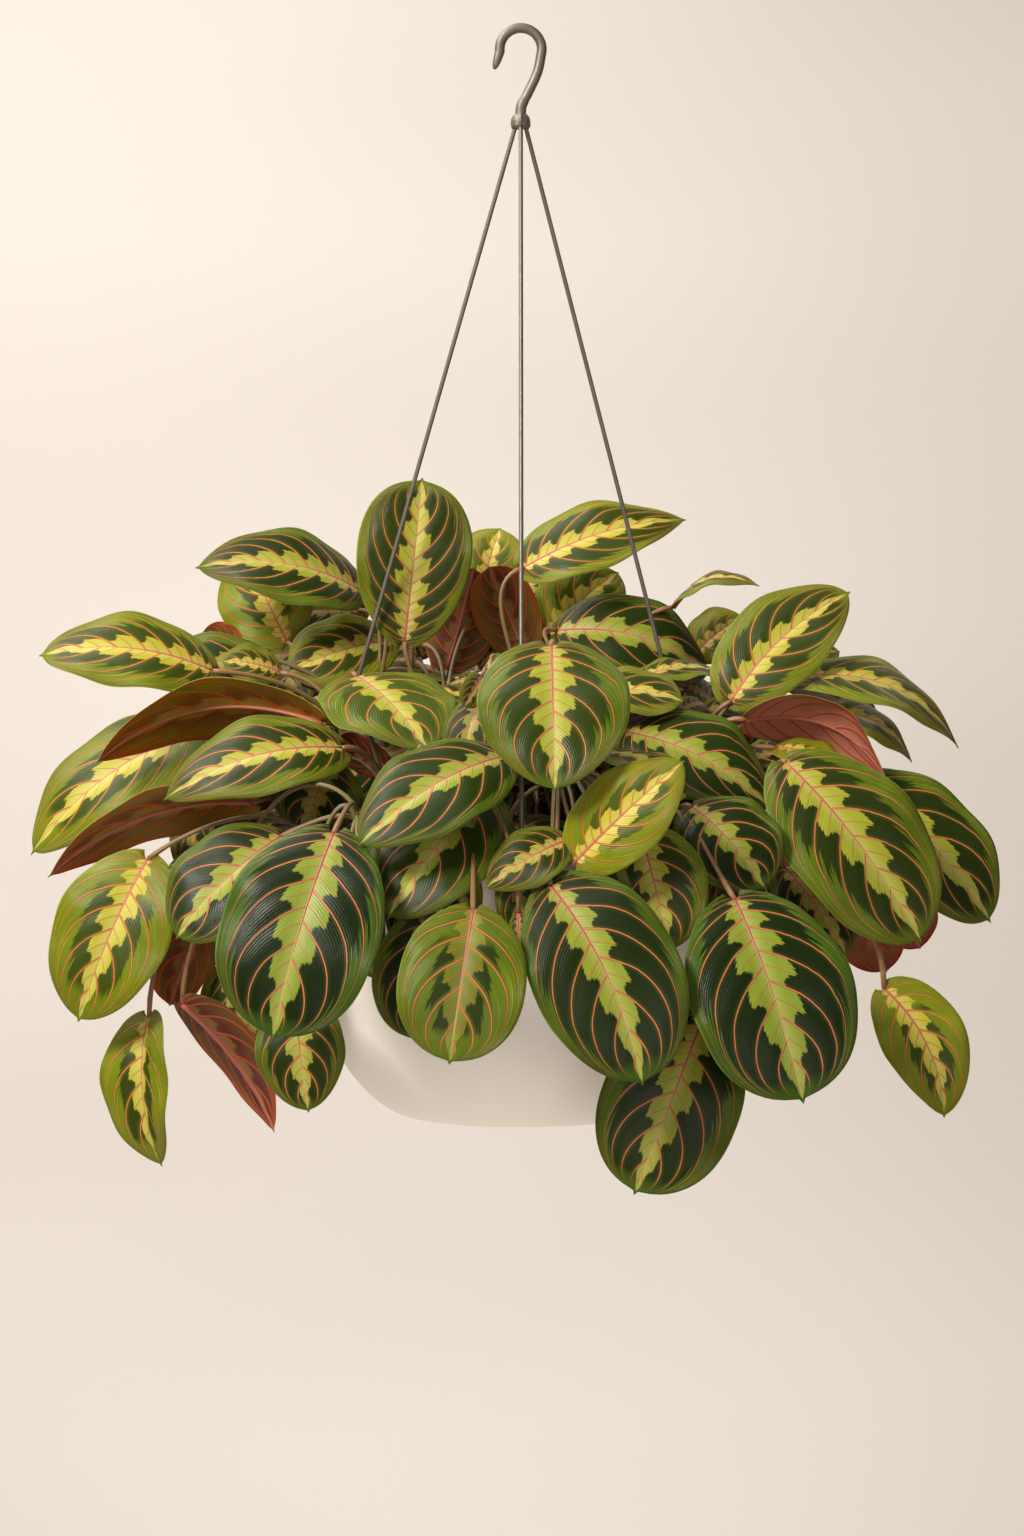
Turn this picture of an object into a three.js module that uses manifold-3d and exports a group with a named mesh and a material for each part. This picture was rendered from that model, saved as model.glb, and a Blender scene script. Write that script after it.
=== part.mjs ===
// A prayer plant in a hanging bowl. Lengths are millimetres, +Z is up and +Y is the back.
// The origin is where the hook rests on what carries it, the inside top of its bend.
// Leaves and stems are placed from the middle of the rim, RIM_Z below the origin.
import * as THREE from "three";
import { mergeVertices } from "three/addons/utils/BufferGeometryUtils.js";
import Module from "manifold-3d";

const wasm = await Module();
wasm.setup();

const GAP = 0.3;

const RIM_Z = -470;
const RIM_RADIUS = 140;
const BOWL_HEIGHT = 147;
const FOOT_RADIUS = 58;
const WALL = 4;
const FLOOR = 5;
const SOIL_DEPTH = 16;
const SOIL_RISE = 3;
const BOWL_TURNS = 34;

const WIRE_RADIUS = 1.25;
const WIRE_START_RADIUS = 3.8;
const WIRE_AZIMUTHS = { wire_front: -90, wire_left: 153, wire_right: 36 };
const HOLE_BELOW_RIM = 10;

const BAR_RADIUS = 2.85;
const SHANK_RADIUS = 3.1;
const BEND_RADIUS = 12;
const COLLAR_TOP = -46.7;
const COLLAR_BOTTOM = -54.2;
const COLLAR_RADIUS = 5.6;
const SHANK_SOCKET = 3.8;
const WIRE_SOCKET = 2.6;

const BLADE_THICKNESS = 0.8;
const STEM_RADIUS = 2.6;
const STEM_ROOT = 24;
const PETIOLE_STEPS = 3;
const PETIOLE_RADII = [1.6, 1.3];
const SLIVER = 0.05;
const DEEP = -24;

// One row a leaf: name, base, tip, the way the upper side looks, full width, then the
// arch as a share of the length, and the fold and the curl of each half in degrees.
// A last entry may hold a sideways sweep of the midrib, the rise or reach of the petiole, or
// how far the outline tapers to the tip.
const LEAVES = [
  ["A", [-68, 50, 125], [-58, 66, 223], [0.1, -1, 0.15], 68, 0.05, 10, 15, { taper: -0.3 }],
  ["B", [-95, 72, 156], [-191, 50, 168], [0, -0.75, 0.66], 62, 0.14, 10, 22, { taper: 0.5 }],
  ["C", [-139, 84, 126], [-166, 108, 180], [-0.2, -1, 0.35], 58, 0.05, 10, 18],
  ["D", [-175, -8, 106], [-272, -20, 114], [-0.1, -0.75, 0.66], 58, 0.13, 10, 24, { taper: 0.35 }],
  ["E", [-76, 84, 127], [-137, 60, 107], [-0.1, -0.93, 0.4], 48, 0.1, 10, 18],
  ["F", [-139, 24, 106], [-172, 16, 112], [0, -0.8, 0.6], 28, 0.1, 10, 18],
  ["G", [-164, 60, 120], [-188, 62, 131], [0, 1, 0.3], 22, 0.1, 10, 18],
  ["H1", [-44, 98, 110], [-28, 100, 172], [0.25, 1, 0.2], 46, 0.06, 14, 18],
  ["H2", [4, 92, 118], [-19, 86, 172], [-0.3, 1, 0.3], 40, 0.08, 14, 18],
  ["I", [-26, 120, 150], [-12, 130, 198], [0, -0.8, 0.6], 44, 0.06, 10, 18],
  ["J", [2, 78, 170], [100, 98, 200], [-0.1, -0.8, 0.6], 52, 0.1, 10, 20, { taper: 0.7 }],
  ["K", [17, 104, 132], [60, 118, 170], [0.1, -0.8, 0.5], 54, 0.1, 10, 18, { taper: 0.3 }],
  ["L", [22, 86, 133], [114, 98, 106], [0.05, -0.85, 0.5], 58, 0.2, 10, 20, { taper: 0.35 }],
  ["M", [91, 84, 147], [141, 62, 158], [0.05, -0.35, 0.93], 40, 0.2, 10, 24, { taper: 0.8 }],
  ["N", [104, 112, 118], [136, 118, 143], [0.3, -0.6, 0.7], 36, 0.1, 10, 18],
  ["O", [120, 2, 89], [191, 26, 153], [-0.15, -0.9, 0.4], 58, 0.04, 12, 22, { sweep: -0.06, taper: 0.35 }],
  ["P", [160, 14, 103], [253, 24, 62], [0.3, -0.5, 0.8], 54, 0.18, 10, 20, { taper: 0.75 }],
  ["Q", [160, 46, 112], [187, 48, 119], [0.2, -0.6, 0.8], 28, 0.1, 10, 18, { taper: 0.3 }],
  ["R", [126, -28, 78], [204, -42, 43], [0.2, 0.75, 0.65], 40, 0.28, 10, 30, { taper: 0.8 }],
  ["S", [168, 26, 82], [227, 32, 54], [0.2, -0.5, 0.85], 42, 0.2, 10, 24, { taper: 0.6 }],
  ["T", [144, -22, 62], [182, -34, 49], [0.2, -0.6, 0.8], 30, 0.1, 10, 18, { taper: 0.2 }],
  ["U", [145, -70, 54], [217, -90, -44], [0.1, -0.9, 0.45], 80, 0.1, 8, 15, { reach: 0.1, taper: 0.1 }],
  ["V", [190, -12, 44], [263, -34, -36], [0.25, -0.85, 0.45], 70, 0.1, 8, 15, { taper: 0.15 }],
  ["W", [59, -30, 71], [139, -44, 28], [0.03, -0.72, 0.69], 66, 0.12, 8, 15, { taper: 0.35 }],
  ["X", [16, -122, 116], [17, -170, 38], [0, -0.84, 0.54], 81, 0.08, 8, 15, { taper: 0.3 }],
  ["Y", [-92, -30, 102], [-50, -92, 60], [0.1, -0.55, 0.83], 76, 0.06, 6, 15, { taper: 0.45 }],
  ["Z", [-111, -30, 76], [-238, -40, 53], [-0.1, 0.7, 0.7], 48, 0.22, 12, 30, { taper: 0.5 }],
  ["AB", [-99, -54, 62], [-196, -74, 33], [-0.1, -0.78, 0.62], 56, 0.14, 8, 18, { taper: 0.55 }],
  ["AC", [-182, 18, 74], [-280, 4, 1], [-0.3, -0.8, 0.55], 64, 0.13, 8, 15, { taper: 0.35 }],
  ["AD", [-150, -42, 32], [-262, -54, -10], [-0.1, 0.6, 0.8], 46, 0.14, 10, 28, { taper: 0.5 }],
  ["AE", [-205, -66, 1], [-242, -76, -88], [-0.2, -0.95, 0.2], 68, 0.08, 10, 15, { taper: 0.25 }],
  ["AF", [-130, -90, 14], [-185, -110, -41], [-0.2, -0.85, 0.5], 62, 0.1, 8, 15, { taper: 0.1 }],
  ["AG", [-106, -30, 54], [-122, -44, 14], [0, -0.9, 0.45], 52, 0.08, 8, 18, { taper: 0.1 }],
  ["AH", [-98, -154, 17], [-128, -182, -89], [-0.1, -0.95, 0.25], 84, 0.1, 7, 15],
  ["AI", [-9, -124, 57], [-85, -161, 10], [-0.1, -0.8, 0.6], 60, 0.12, 9, 28, { taper: 0.3 }],
  ["AJ", [-18, -114, 37], [-70, -156, -28], [-0.1, -0.85, 0.5], 64, 0.1, 8, 22, { taper: 0.2 }],
  ["AK", [-25, -172, -22], [-37, -196, -100], [0, -1, 0.15], 66, 0.08, 8, 15],
  ["AL", [-50, -150, -26], [-54, -155, -92], [-0.1, -1, 0.1], 52, 0.06, 8, 18],
  ["AM", [15, -158, -10], [62, -188, -112], [0.05, -0.95, 0.25], 78, 0.08, 8, 15, { sweep: -0.05, taper: 0.1 }],
  ["AN", [112, -142, -18], [145, -176, -122], [0.15, -0.95, 0.25], 88, 0.1, 7, 15],
  ["AO", [97, -122, -80], [59, -138, -174], [0, -1, 0.1], 74, 0.08, 8, 15, { reach: 0.9 }],
  ["AP", [28, -152, 2], [85, -158, 55], [-0.2, -0.95, 0.2], 48, 0.06, 10, 22, { taper: 0.4 }],
  ["AQ", [63, -132, 18], [78, -146, -46], [0, -0.97, 0.25], 56, 0.06, 8, 18, { taper: 0.2 }],
  ["AR", [92, -94, 30], [130, -116, -14], [0.2, -0.85, 0.5], 60, 0.1, 8, 15, { taper: 0.1 }],
  ["AS", [146, -44, -4], [180, -54, -53], [0.3, -0.9, 0.3], 46, 0.08, 8, 18, { taper: 0.2 }],
  ["AT", [186, -18, -20], [206, -24, -64], [0.2, 1, 0.1], 42, 0.06, 10, 18, { taper: 0.2 }],
  ["AU", [212, -2, -20], [227, -6, -52], [0.3, 0.9, 0.2], 38, 0.06, 10, 18, { taper: 0.3 }],
  ["AV", [197, -86, -69], [228, -98, -138], [0.1, -0.95, 0.2], 47, 0.08, 10, 18, { sweep: -0.09, rise: 0.16, taper: 0.45 }],
  ["AW", [23, -148, 13], [-19, -153, -12], [0, -0.85, 0.5], 34, 0.1, 8, 18, { taper: 0.5 }],
  ["AX", [-172, -36, -26], [-196, -40, -82], [-0.5, 0.8, 0.2], 44, 0.08, 20, 18, { taper: 0.1 }],
  ["AY", [-162, -54, -57], [-143, -58, -107], [-0.2, -0.9, 0.2], 48, 0.08, 8, 18, { reach: 0.95, taper: 0.2 }],
  ["AZ", [-205, -60, -86], [-197, -66, -168], [-0.6, -0.75, 0.1], 52, 0.12, 30, 30, { taper: 0.5 }],
  ["BA", [-185, -76, -78], [-134, -86, -147], [0.45, 0.85, 0.25], 36, 0.1, 30, 20, { taper: 0.6 }],
  ["BB", [-121, -98, -72], [-114, -106, -134], [-0.2, -1, 0.1], 50, 0.08, 8, 18, { taper: 0.3 }],
  ["CA", [-182, 44, 8], [-202, 56, -66], [-0.95, 0.25, 0.25], 56, 0.08, 8, 18],
  ["CB", [-176, 62, 56], [-240, 84, 14], [-0.5, 0.3, 0.8], 62, 0.12, 8, 15],
  ["CC", [-120, 84, 70], [-182, 112, 62], [-0.3, 0.4, 0.85], 58, 0.1, 8, 18],
  ["CD", [-134, 92, -6], [-156, 112, -84], [-0.7, 0.65, 0.25], 66, 0.08, 8, 15],
  ["CE", [-126, 120, 46], [-178, 164, 0], [-0.5, 0.5, 0.7], 68, 0.12, 8, 15],
  ["CF", [-100, 132, 104], [-150, 186, 92], [-0.3, 0.3, 0.9], 60, 0.14, 8, 15],
  ["CG", [-62, 144, -8], [-72, 174, -96], [-0.3, 0.95, 0.25], 74, 0.08, 8, 15],
  ["CH", [-66, 152, 50], [-90, 224, 8], [-0.2, 0.6, 0.75], 70, 0.12, 8, 15],
  ["CI", [-46, 150, 108], [-68, 222, 100], [-0.1, 0.2, 0.97], 62, 0.14, 8, 15],
  ["CJ", [12, 152, -8], [8, 182, -102], [0, 0.97, 0.25], 76, 0.08, 8, 15],
  ["CK", [2, 160, 54], [-8, 236, 10], [0, 0.6, 0.8], 68, 0.12, 8, 15],
  ["CL", [22, 152, 108], [38, 226, 92], [0.1, 0.25, 0.95], 62, 0.14, 8, 15],
  ["CM", [4, 150, 152], [10, 204, 176], [0, 0.5, 0.85], 52, 0.1, 8, 18],
  ["CN", [82, 132, -8], [94, 158, -96], [0.4, 0.9, 0.25], 72, 0.08, 8, 15],
  ["CO", [80, 146, 50], [122, 208, 10], [0.3, 0.55, 0.75], 68, 0.12, 8, 15],
  ["CP", [84, 138, 100], [130, 190, 84], [0.3, 0.25, 0.9], 58, 0.14, 8, 18],
  ["CQ", [142, 88, -8], [166, 106, -86], [0.75, 0.6, 0.25], 66, 0.08, 8, 15],
  ["CR", [144, 94, 52], [206, 124, 8], [0.5, 0.4, 0.8], 66, 0.12, 8, 15],
  ["CS", [150, 74, 98], [212, 98, 76], [0.3, 0.2, 0.9], 54, 0.14, 8, 18],
  ["CT", [184, 30, 4], [204, 40, -58], [0.95, 0.2, 0.25], 52, 0.08, 8, 18],
  ["CU", [182, 36, 54], [244, 48, 6], [0.6, 0.2, 0.8], 60, 0.12, 8, 15],
  ["DA", [-10, -30, 86], [-6, -88, 72], [0, -0.4, 0.9], 50, 0.1, 8, 18],
  ["DB", [30, -10, 92], [92, -22, 88], [0, -0.6, 0.8], 46, 0.1, 8, 18],
  ["DC", [-20, -4, 84], [-76, 6, 92], [0, -0.2, 0.97], 46, 0.12, 8, 18],
  ["DD", [12, 8, 92], [44, 44, 96], [0.1, -0.1, 0.98], 42, 0.1, 8, 18],
  ["DE", [-60, 112, 126], [-104, 148, 134], [-0.1, -0.1, 1], 50, 0.1, 8, 18],
  ["DF", [38, 130, 118], [84, 160, 126], [0.1, -0.1, 1], 50, 0.1, 8, 18],
  ["DH", [68, 14, 102], [116, 32, 106], [0, -0.3, 0.95], 42, 0.1, 8, 18],
  ["DI", [-56, 18, 74], [-104, 22, 66], [0, 0, 1], 36, 0.1, 8, 18],
  ["DK", [42, -54, 58], [84, -88, 44], [0.3, -0.4, 0.85], 42, 0.1, 8, 18],
  ["DL", [-112, 32, 66], [-158, 44, 56], [-0.2, 0, 1], 42, 0.12, 8, 18],
  ["DM", [112, 36, 72], [160, 50, 64], [0.2, 0.1, 1], 40, 0.12, 8, 18],
  ["DN", [-28, 74, 98], [-52, 122, 100], [0, 0.2, 0.97], 46, 0.1, 8, 18],
  ["DO", [26, 84, 92], [44, 134, 94], [0, 0.2, 0.97], 46, 0.1, 8, 18],
  ["DP", [70, 76, 68], [116, 112, 62], [0.2, 0.2, 0.96], 46, 0.12, 8, 18],
  ["DQ", [-70, 84, 82], [-110, 112, 78], [-0.2, 0.2, 0.96], 40, 0.12, 8, 18],
];

// One row a leafy stem: its name, where it stands in the soil, its top, and its leaves.
const STEMS = [
  ["front_left", [-18, -84], [-26, -112, 26], ["AI", "AJ", "AK", "AL"]],
  ["front", [14, -70], [20, -96, 40], ["X", "AP", "AW", "AM", "AQ"]],
  ["front_right", [62, -72], [80, -84, 16], ["AN", "AO", "AR"]],
  ["right_front", [92, -46], [120, -46, 4], ["AS", "AV"]],
  ["right_low", [107, -8], [141, -14, 26], ["U", "V", "AT", "AU"]],
  ["right_mid", [72, -16], [96, -18, 40], ["W", "R", "T", "DK"]],
  ["right_top", [76, 18], [100, 14, 50], ["O", "P", "S", "Q"]],
  ["left_front", [-66, -76], [-88, -100, 20], ["AH", "AF", "BB", "AY"]],
  ["left_low", [-96, -50], [-116, -60, 4], ["AE", "AX", "AZ", "BA"]],
  ["left_mid", [-60, -38], [-76, -40, 40], ["AB", "AG", "Y"]],
  ["left_out", [-92, 0], [-120, 4, 30], ["AC", "AD", "Z"]],
  ["left_top", [-66, 12], [-96, 10, 56], ["D", "F", "DL", "DI"]],
  ["back_left", [-62, 44], [-84, 54, 60], ["B", "C", "G", "E"]],
  ["top_left", [-34, 40], [-46, 54, 70], ["A", "H1", "I", "DE", "DN"]],
  ["top_right", [4, 40], [6, 60, 70], ["J", "K", "H2", "DF", "DO"]],
  ["back_right", [44, 46], [52, 62, 60], ["L", "M", "N", "DP"]],
  ["middle", [2, -14], [2, -10, 62], ["DA", "DB", "DC", "DD", "DH"]],
  ["rear_left_low", [-100, 26], [-126, 34, 14], ["CA", "CB"]],
  ["rear_left", [-80, 62], [-98, 80, 26], ["CC", "CD", "CE", "CF", "DQ"]],
  ["rear_mid_left", [-34, 88], [-40, 112, 26], ["CG", "CH", "CI"]],
  ["rear_mid", [10, 92], [10, 118, 26], ["CJ", "CK", "CL", "CM"]],
  ["rear_right", [56, 84], [66, 106, 26], ["CN", "CO", "CP"]],
  ["rear_right_low", [98, 44], [122, 54, 20], ["CQ", "CR", "CS", "DM"]],
  ["rear_far_right", [108, 14], [132, 18, 12], ["CT", "CU"]],
];

const WIDE_LEAF = 69;
const WIDE_STEPS = [0.06, 0.26, 0.5, 0.76, 0.94];
const NARROW_STEPS = [0.08, 0.36, 0.68, 0.92];
const SMALL_LEAF = 47;
const SMALL_STEPS = [0.1, 0.46, 0.86];
const BLADE_ACROSS = [-1, -0.55, 0, 0.55, 1];
const SMALL_ACROSS = [-1, 0, 1];

const vector = (values) => new THREE.Vector3(...values);
const radians = (degrees) => (degrees * Math.PI) / 180;

// Joining and cutting

function toSolid(geometry) {
  const bare = geometry.clone();
  bare.deleteAttribute("normal");
  bare.deleteAttribute("uv");
  const merged = mergeVertices(bare, 1e-4);
  const vertProperties = new Float32Array(merged.attributes.position.array);
  const triVerts = new Uint32Array(merged.index.array);
  return new wasm.Manifold(new wasm.Mesh({ numProp: 3, vertProperties, triVerts }));
}

function toGeometry(solid) {
  const mesh = solid.getMesh();
  const geometry = new THREE.BufferGeometry();
  geometry.setAttribute("position", new THREE.Float32BufferAttribute(mesh.vertProperties, 3));
  geometry.setIndex([...mesh.triVerts]);
  geometry.computeVertexNormals();
  return geometry;
}

function fuse(geometries) {
  const solids = geometries.map(toSolid);
  return solids.slice(1).reduce((whole, solid) => whole.add(solid), solids[0]);
}

function cut(geometry, tools) {
  return tools.map(toSolid).reduce((whole, tool) => whole.subtract(tool), toSolid(geometry));
}

// Rods and other round pieces

function meshOf(points, triangles) {
  const geometry = new THREE.BufferGeometry();
  const numbers = points.flatMap((point) => [point.x, point.y, point.z]);
  geometry.setAttribute("position", new THREE.Float32BufferAttribute(numbers, 3));
  geometry.setIndex(triangles);
  return geometry;
}

// A round rod along the points, with a radius at each of them and closed ends.
function rod(points, radii, sides) {
  const rings = [];
  let across = null;
  points.forEach((point, i) => {
    const before = points[Math.max(i - 1, 0)];
    const after = points[Math.min(i + 1, points.length - 1)];
    const along = after.clone().sub(before).normalize();
    if (across === null) {
      const helper = Math.abs(along.z) > 0.95 ? vector([1, 0, 0]) : vector([0, 0, 1]);
      across = along.clone().cross(helper);
    }
    across.addScaledVector(along, -across.dot(along)).normalize();
    const other = along.clone().cross(across);
    for (let k = 0; k < sides; k += 1) {
      const angle = (2 * Math.PI * k) / sides;
      const spoke = across.clone().multiplyScalar(Math.cos(angle) * radii[i]);
      spoke.addScaledVector(other, Math.sin(angle) * radii[i]);
      rings.push(point.clone().add(spoke));
    }
  });
  const triangles = [];
  for (let i = 0; i < points.length - 1; i += 1) {
    for (let k = 0; k < sides; k += 1) {
      const a = i * sides + k;
      const b = i * sides + ((k + 1) % sides);
      triangles.push(a, b, b + sides, a, b + sides, a + sides);
    }
  }
  const last = (points.length - 1) * sides;
  for (let k = 1; k < sides - 1; k += 1) {
    triangles.push(0, k + 1, k, last, last + k, last + k + 1);
  }
  return meshOf(rings, triangles);
}

function turned(outline, segments) {
  const points = outline.map(([radius, height]) => new THREE.Vector2(radius, height));
  const geometry = new THREE.LatheGeometry(points, segments);
  geometry.rotateX(Math.PI / 2);
  return geometry;
}

// The bowl and its soil

function wallAt(share) {
  const curve = new THREE.CubicBezierCurve(
    new THREE.Vector2(FOOT_RADIUS, -BOWL_HEIGHT),
    new THREE.Vector2(FOOT_RADIUS + 29, -BOWL_HEIGHT),
    new THREE.Vector2(RIM_RADIUS - 19, -BOWL_HEIGHT + 42),
    new THREE.Vector2(RIM_RADIUS, -2),
  );
  return curve.getPoint(share);
}

function wallInward(share, distance) {
  const here = wallAt(share);
  const ahead = wallAt(Math.min(share + 0.01, 1)).sub(wallAt(share - 0.01));
  return [here.x - (ahead.y / ahead.length()) * distance, here.y + (ahead.x / ahead.length()) * distance];
}

function shares(from, to, count) {
  return Array.from({ length: count + 1 }, (_, i) => from + ((to - from) * i) / count);
}

// The wall from the inside, from the floor up, a distance in from the outer face.
function innerWall(distance) {
  const wall = shares(0.28, 0.98, 4).map((share) => wallInward(share, distance));
  return [[wall[0][0] - 14, FLOOR - BOWL_HEIGHT + distance - WALL], ...wall];
}

function wireFrame(azimuth) {
  const angle = radians(azimuth);
  return (radius, height) => vector([radius * Math.cos(angle), radius * Math.sin(angle), height + RIM_Z]);
}

function bowl() {
  const outside = shares(0, 1, 9).map((share) => wallAt(share).toArray());
  const lip = [[RIM_RADIUS - 0.8, -0.5], [RIM_RADIUS - 2, 0], [RIM_RADIUS - WALL + 0.8, -0.5]];
  const inside = innerWall(WALL).reverse();
  const floor = [[0, FLOOR - BOWL_HEIGHT]];
  const foot = [[0, 1.5 - BOWL_HEIGHT], [FOOT_RADIUS - 6, 1.5 - BOWL_HEIGHT], [FOOT_RADIUS - 4, -BOWL_HEIGHT]];
  const shell = turned([...foot, ...outside, ...lip, ...inside, ...floor], BOWL_TURNS);
  shell.translate(0, 0, RIM_Z);
  const holes = Object.values(WIRE_AZIMUTHS).map((azimuth) => {
    const at = wireFrame(azimuth);
    const ends = [at(RIM_RADIUS - 12, -HOLE_BELOW_RIM), at(RIM_RADIUS + 6, -HOLE_BELOW_RIM)];
    return rod(ends, [WIRE_RADIUS + GAP, WIRE_RADIUS + GAP], 10);
  });
  return cut(shell, holes);
}

function soil() {
  const edge = innerWall(WALL + GAP).filter(([, height]) => height < -SOIL_DEPTH - 2);
  const brim = edge[edge.length - 1][0];
  const top = [[brim, -SOIL_DEPTH - 2], [brim * 0.9, -SOIL_DEPTH], [brim * 0.5, SOIL_RISE - SOIL_DEPTH - 1]];
  const outline = [[0, edge[0][1]], ...edge, ...top, [0, SOIL_RISE - SOIL_DEPTH]];
  const heap = turned(outline, BOWL_TURNS);
  heap.translate(0, 0, RIM_Z);
  const radius = (STEM_RADIUS + GAP) / Math.cos(Math.PI / 6);
  const holes = STEMS.map(([, [x, y]]) => {
    const ends = [vector([x, y, RIM_Z - SOIL_DEPTH - STEM_ROOT - GAP]), vector([x, y, RIM_Z])];
    return rod(ends, [radius, radius], 6);
  });
  return cut(heap, holes);
}

// The hanger

function hook() {
  const centre = BAR_RADIUS - BEND_RADIUS;
  const bend = shares(-8, 186, 18).map((degrees) => {
    const angle = radians(degrees);
    return vector([BEND_RADIUS * Math.cos(angle), 0, centre + BEND_RADIUS * Math.sin(angle)]);
  });
  const tip = [vector([-13.4, 0, -15.2]), vector([-14.4, 0, -18.4]), vector([-14.9, 0, -20.3])];
  const neck = new THREE.CatmullRomCurve3([
    vector([0, 0, COLLAR_TOP - SHANK_SOCKET + GAP]),
    vector([0, 0, -46]),
    vector([0.6, 0, -41]),
    vector([4.2, 0, -34]),
    vector([9.6, 0, -22]),
    bend[0],
  ]);
  const neckPoints = neck.getPoints(14).slice(0, -1);
  const points = [...neckPoints, ...bend, ...tip];
  const radii = points.map((_, i) => (i < 6 ? SHANK_RADIUS : BAR_RADIUS));
  const taper = [2.7, 2.5, 2.2, 1.7, 0.8];
  taper.forEach((radius, i) => {
    radii[radii.length - taper.length + i] = radius;
  });
  return toSolid(rod(points, radii, 10));
}

function wirePath(azimuth) {
  const at = wireFrame(azimuth);
  const start = at(WIRE_START_RADIUS, COLLAR_BOTTOM - RIM_Z);
  const outside = RIM_RADIUS + WIRE_RADIUS + GAP + 0.9;
  const shoulder = at(outside, -HOLE_BELOW_RIM + 5);
  const down = shoulder.clone().sub(start).normalize();
  const top = start.clone().addScaledVector(down, GAP - WIRE_SOCKET);
  const bends = [
    at(outside + 0.1, -HOLE_BELOW_RIM + 2.6),
    at(outside - 0.7, -HOLE_BELOW_RIM + 0.7),
    at(outside - 2.4, -HOLE_BELOW_RIM),
    at(RIM_RADIUS - WALL - 3, -HOLE_BELOW_RIM),
    at(RIM_RADIUS - WALL - 4.8, -HOLE_BELOW_RIM + 0.7),
    at(RIM_RADIUS - WALL - 5.6, -HOLE_BELOW_RIM + 2.4),
    at(RIM_RADIUS - WALL - 5.8, -HOLE_BELOW_RIM + 9),
  ];
  return { top, start, down, points: [top, shoulder, ...bends] };
}

function wire(azimuth) {
  const { points } = wirePath(azimuth);
  return toSolid(rod(points, points.map(() => WIRE_RADIUS), 8));
}

function collar() {
  const middle = (COLLAR_TOP + COLLAR_BOTTOM) / 2;
  const outline = [
    [0, COLLAR_BOTTOM],
    [COLLAR_RADIUS - 0.8, COLLAR_BOTTOM],
    [COLLAR_RADIUS, COLLAR_BOTTOM + 0.8],
    [COLLAR_RADIUS, middle],
    [COLLAR_RADIUS - 0.6, COLLAR_TOP - 1.4],
    [COLLAR_RADIUS - 1.6, COLLAR_TOP],
    [0, COLLAR_TOP],
  ];
  const body = turned(outline, 24);
  const lobes = Object.values(WIRE_AZIMUTHS).map((azimuth) => {
    const angle = radians(azimuth);
    const at = (radius, height) => vector([radius * Math.cos(angle), radius * Math.sin(angle), height]);
    const arc = [at(4.6, COLLAR_BOTTOM + 0.4), at(5, middle - 1), at(4.9, middle + 1.4), at(4.4, COLLAR_TOP)];
    return rod(arc, [1.35, 1.5, 1.5, 0.9], 6);
  });
  const socket = rod(
    [vector([0, 0, COLLAR_TOP - SHANK_SOCKET]), vector([0, 0, COLLAR_TOP + 4])],
    [SHANK_RADIUS + GAP, SHANK_RADIUS + GAP],
    16,
  );
  const wireSockets = Object.values(WIRE_AZIMUTHS).map((azimuth) => {
    const { start, down } = wirePath(azimuth);
    const inner = start.clone().addScaledVector(down, -WIRE_SOCKET);
    const outer = start.clone().addScaledVector(down, 4);
    return rod([inner, outer], [WIRE_RADIUS + GAP, WIRE_RADIUS + GAP], 10);
  });
  const sockets = [socket, ...wireSockets].map(toSolid);
  return sockets.reduce((whole, tool) => whole.subtract(tool), fuse([body, ...lobes]));
}

// Leaves

function readLeaf(row, index) {
  const [name, base, tip, face, width, arch, fold, curl, more = {}] = row;
  return {
    name,
    base: vector(base),
    tip: vector(tip),
    face: vector(face),
    width,
    arch,
    fold: radians(fold),
    curl: radians(curl),
    sweep: more.sweep ?? 0,
    reach: more.reach ?? null,
    rise: more.rise ?? 0.42,
    taper: more.taper ?? 0,
    phase: 2.4 * index,
  };
}

// The half width as a share of its greatest, a share t along the blade. A taper brings the
// widest place towards the stalk and narrows the tip.
function halfWidth(t, taper) {
  if (t <= 0 || t >= 1) {
    return 0;
  }
  const place = Math.min(t / 0.965, 1) ** (1.06 - 0.3 * taper);
  const narrow = 1 - Math.max(taper, 0) * (Math.max(t - 0.4, 0) / 0.6) ** 2;
  const body = narrow * Math.sqrt(Math.max(1 - Math.abs(2 * place - 1) ** 2.25, 0));
  const point = t > 0.5 ? 0.17 * Math.min((1 - t) / 0.1, 1) ** 1.3 : 0;
  return Math.max(body, point);
}

// The midrib and the frame of the blade, a share t along it.
function midrib(leaf, t) {
  const reach = leaf.tip.clone().sub(leaf.base);
  const length = reach.length();
  const axis = reach.clone().divideScalar(length);
  const face = leaf.face.clone().addScaledVector(axis, -leaf.face.dot(axis)).normalize();
  const side = axis.clone().cross(face);
  const bow = 4 * t * (1 - t);
  const slope = 4 * (1 - 2 * t);
  const point = leaf.base.clone().addScaledVector(reach, t);
  point.addScaledVector(face, leaf.arch * length * bow);
  point.addScaledVector(side, leaf.sweep * length * bow);
  const along = reach.clone().addScaledVector(face, leaf.arch * length * slope);
  along.addScaledVector(side, leaf.sweep * length * slope).normalize();
  const normal = face.clone().addScaledVector(along, -face.dot(along)).normalize();
  return { point, along, normal, edge: along.clone().cross(normal), length, bow };
}

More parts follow.
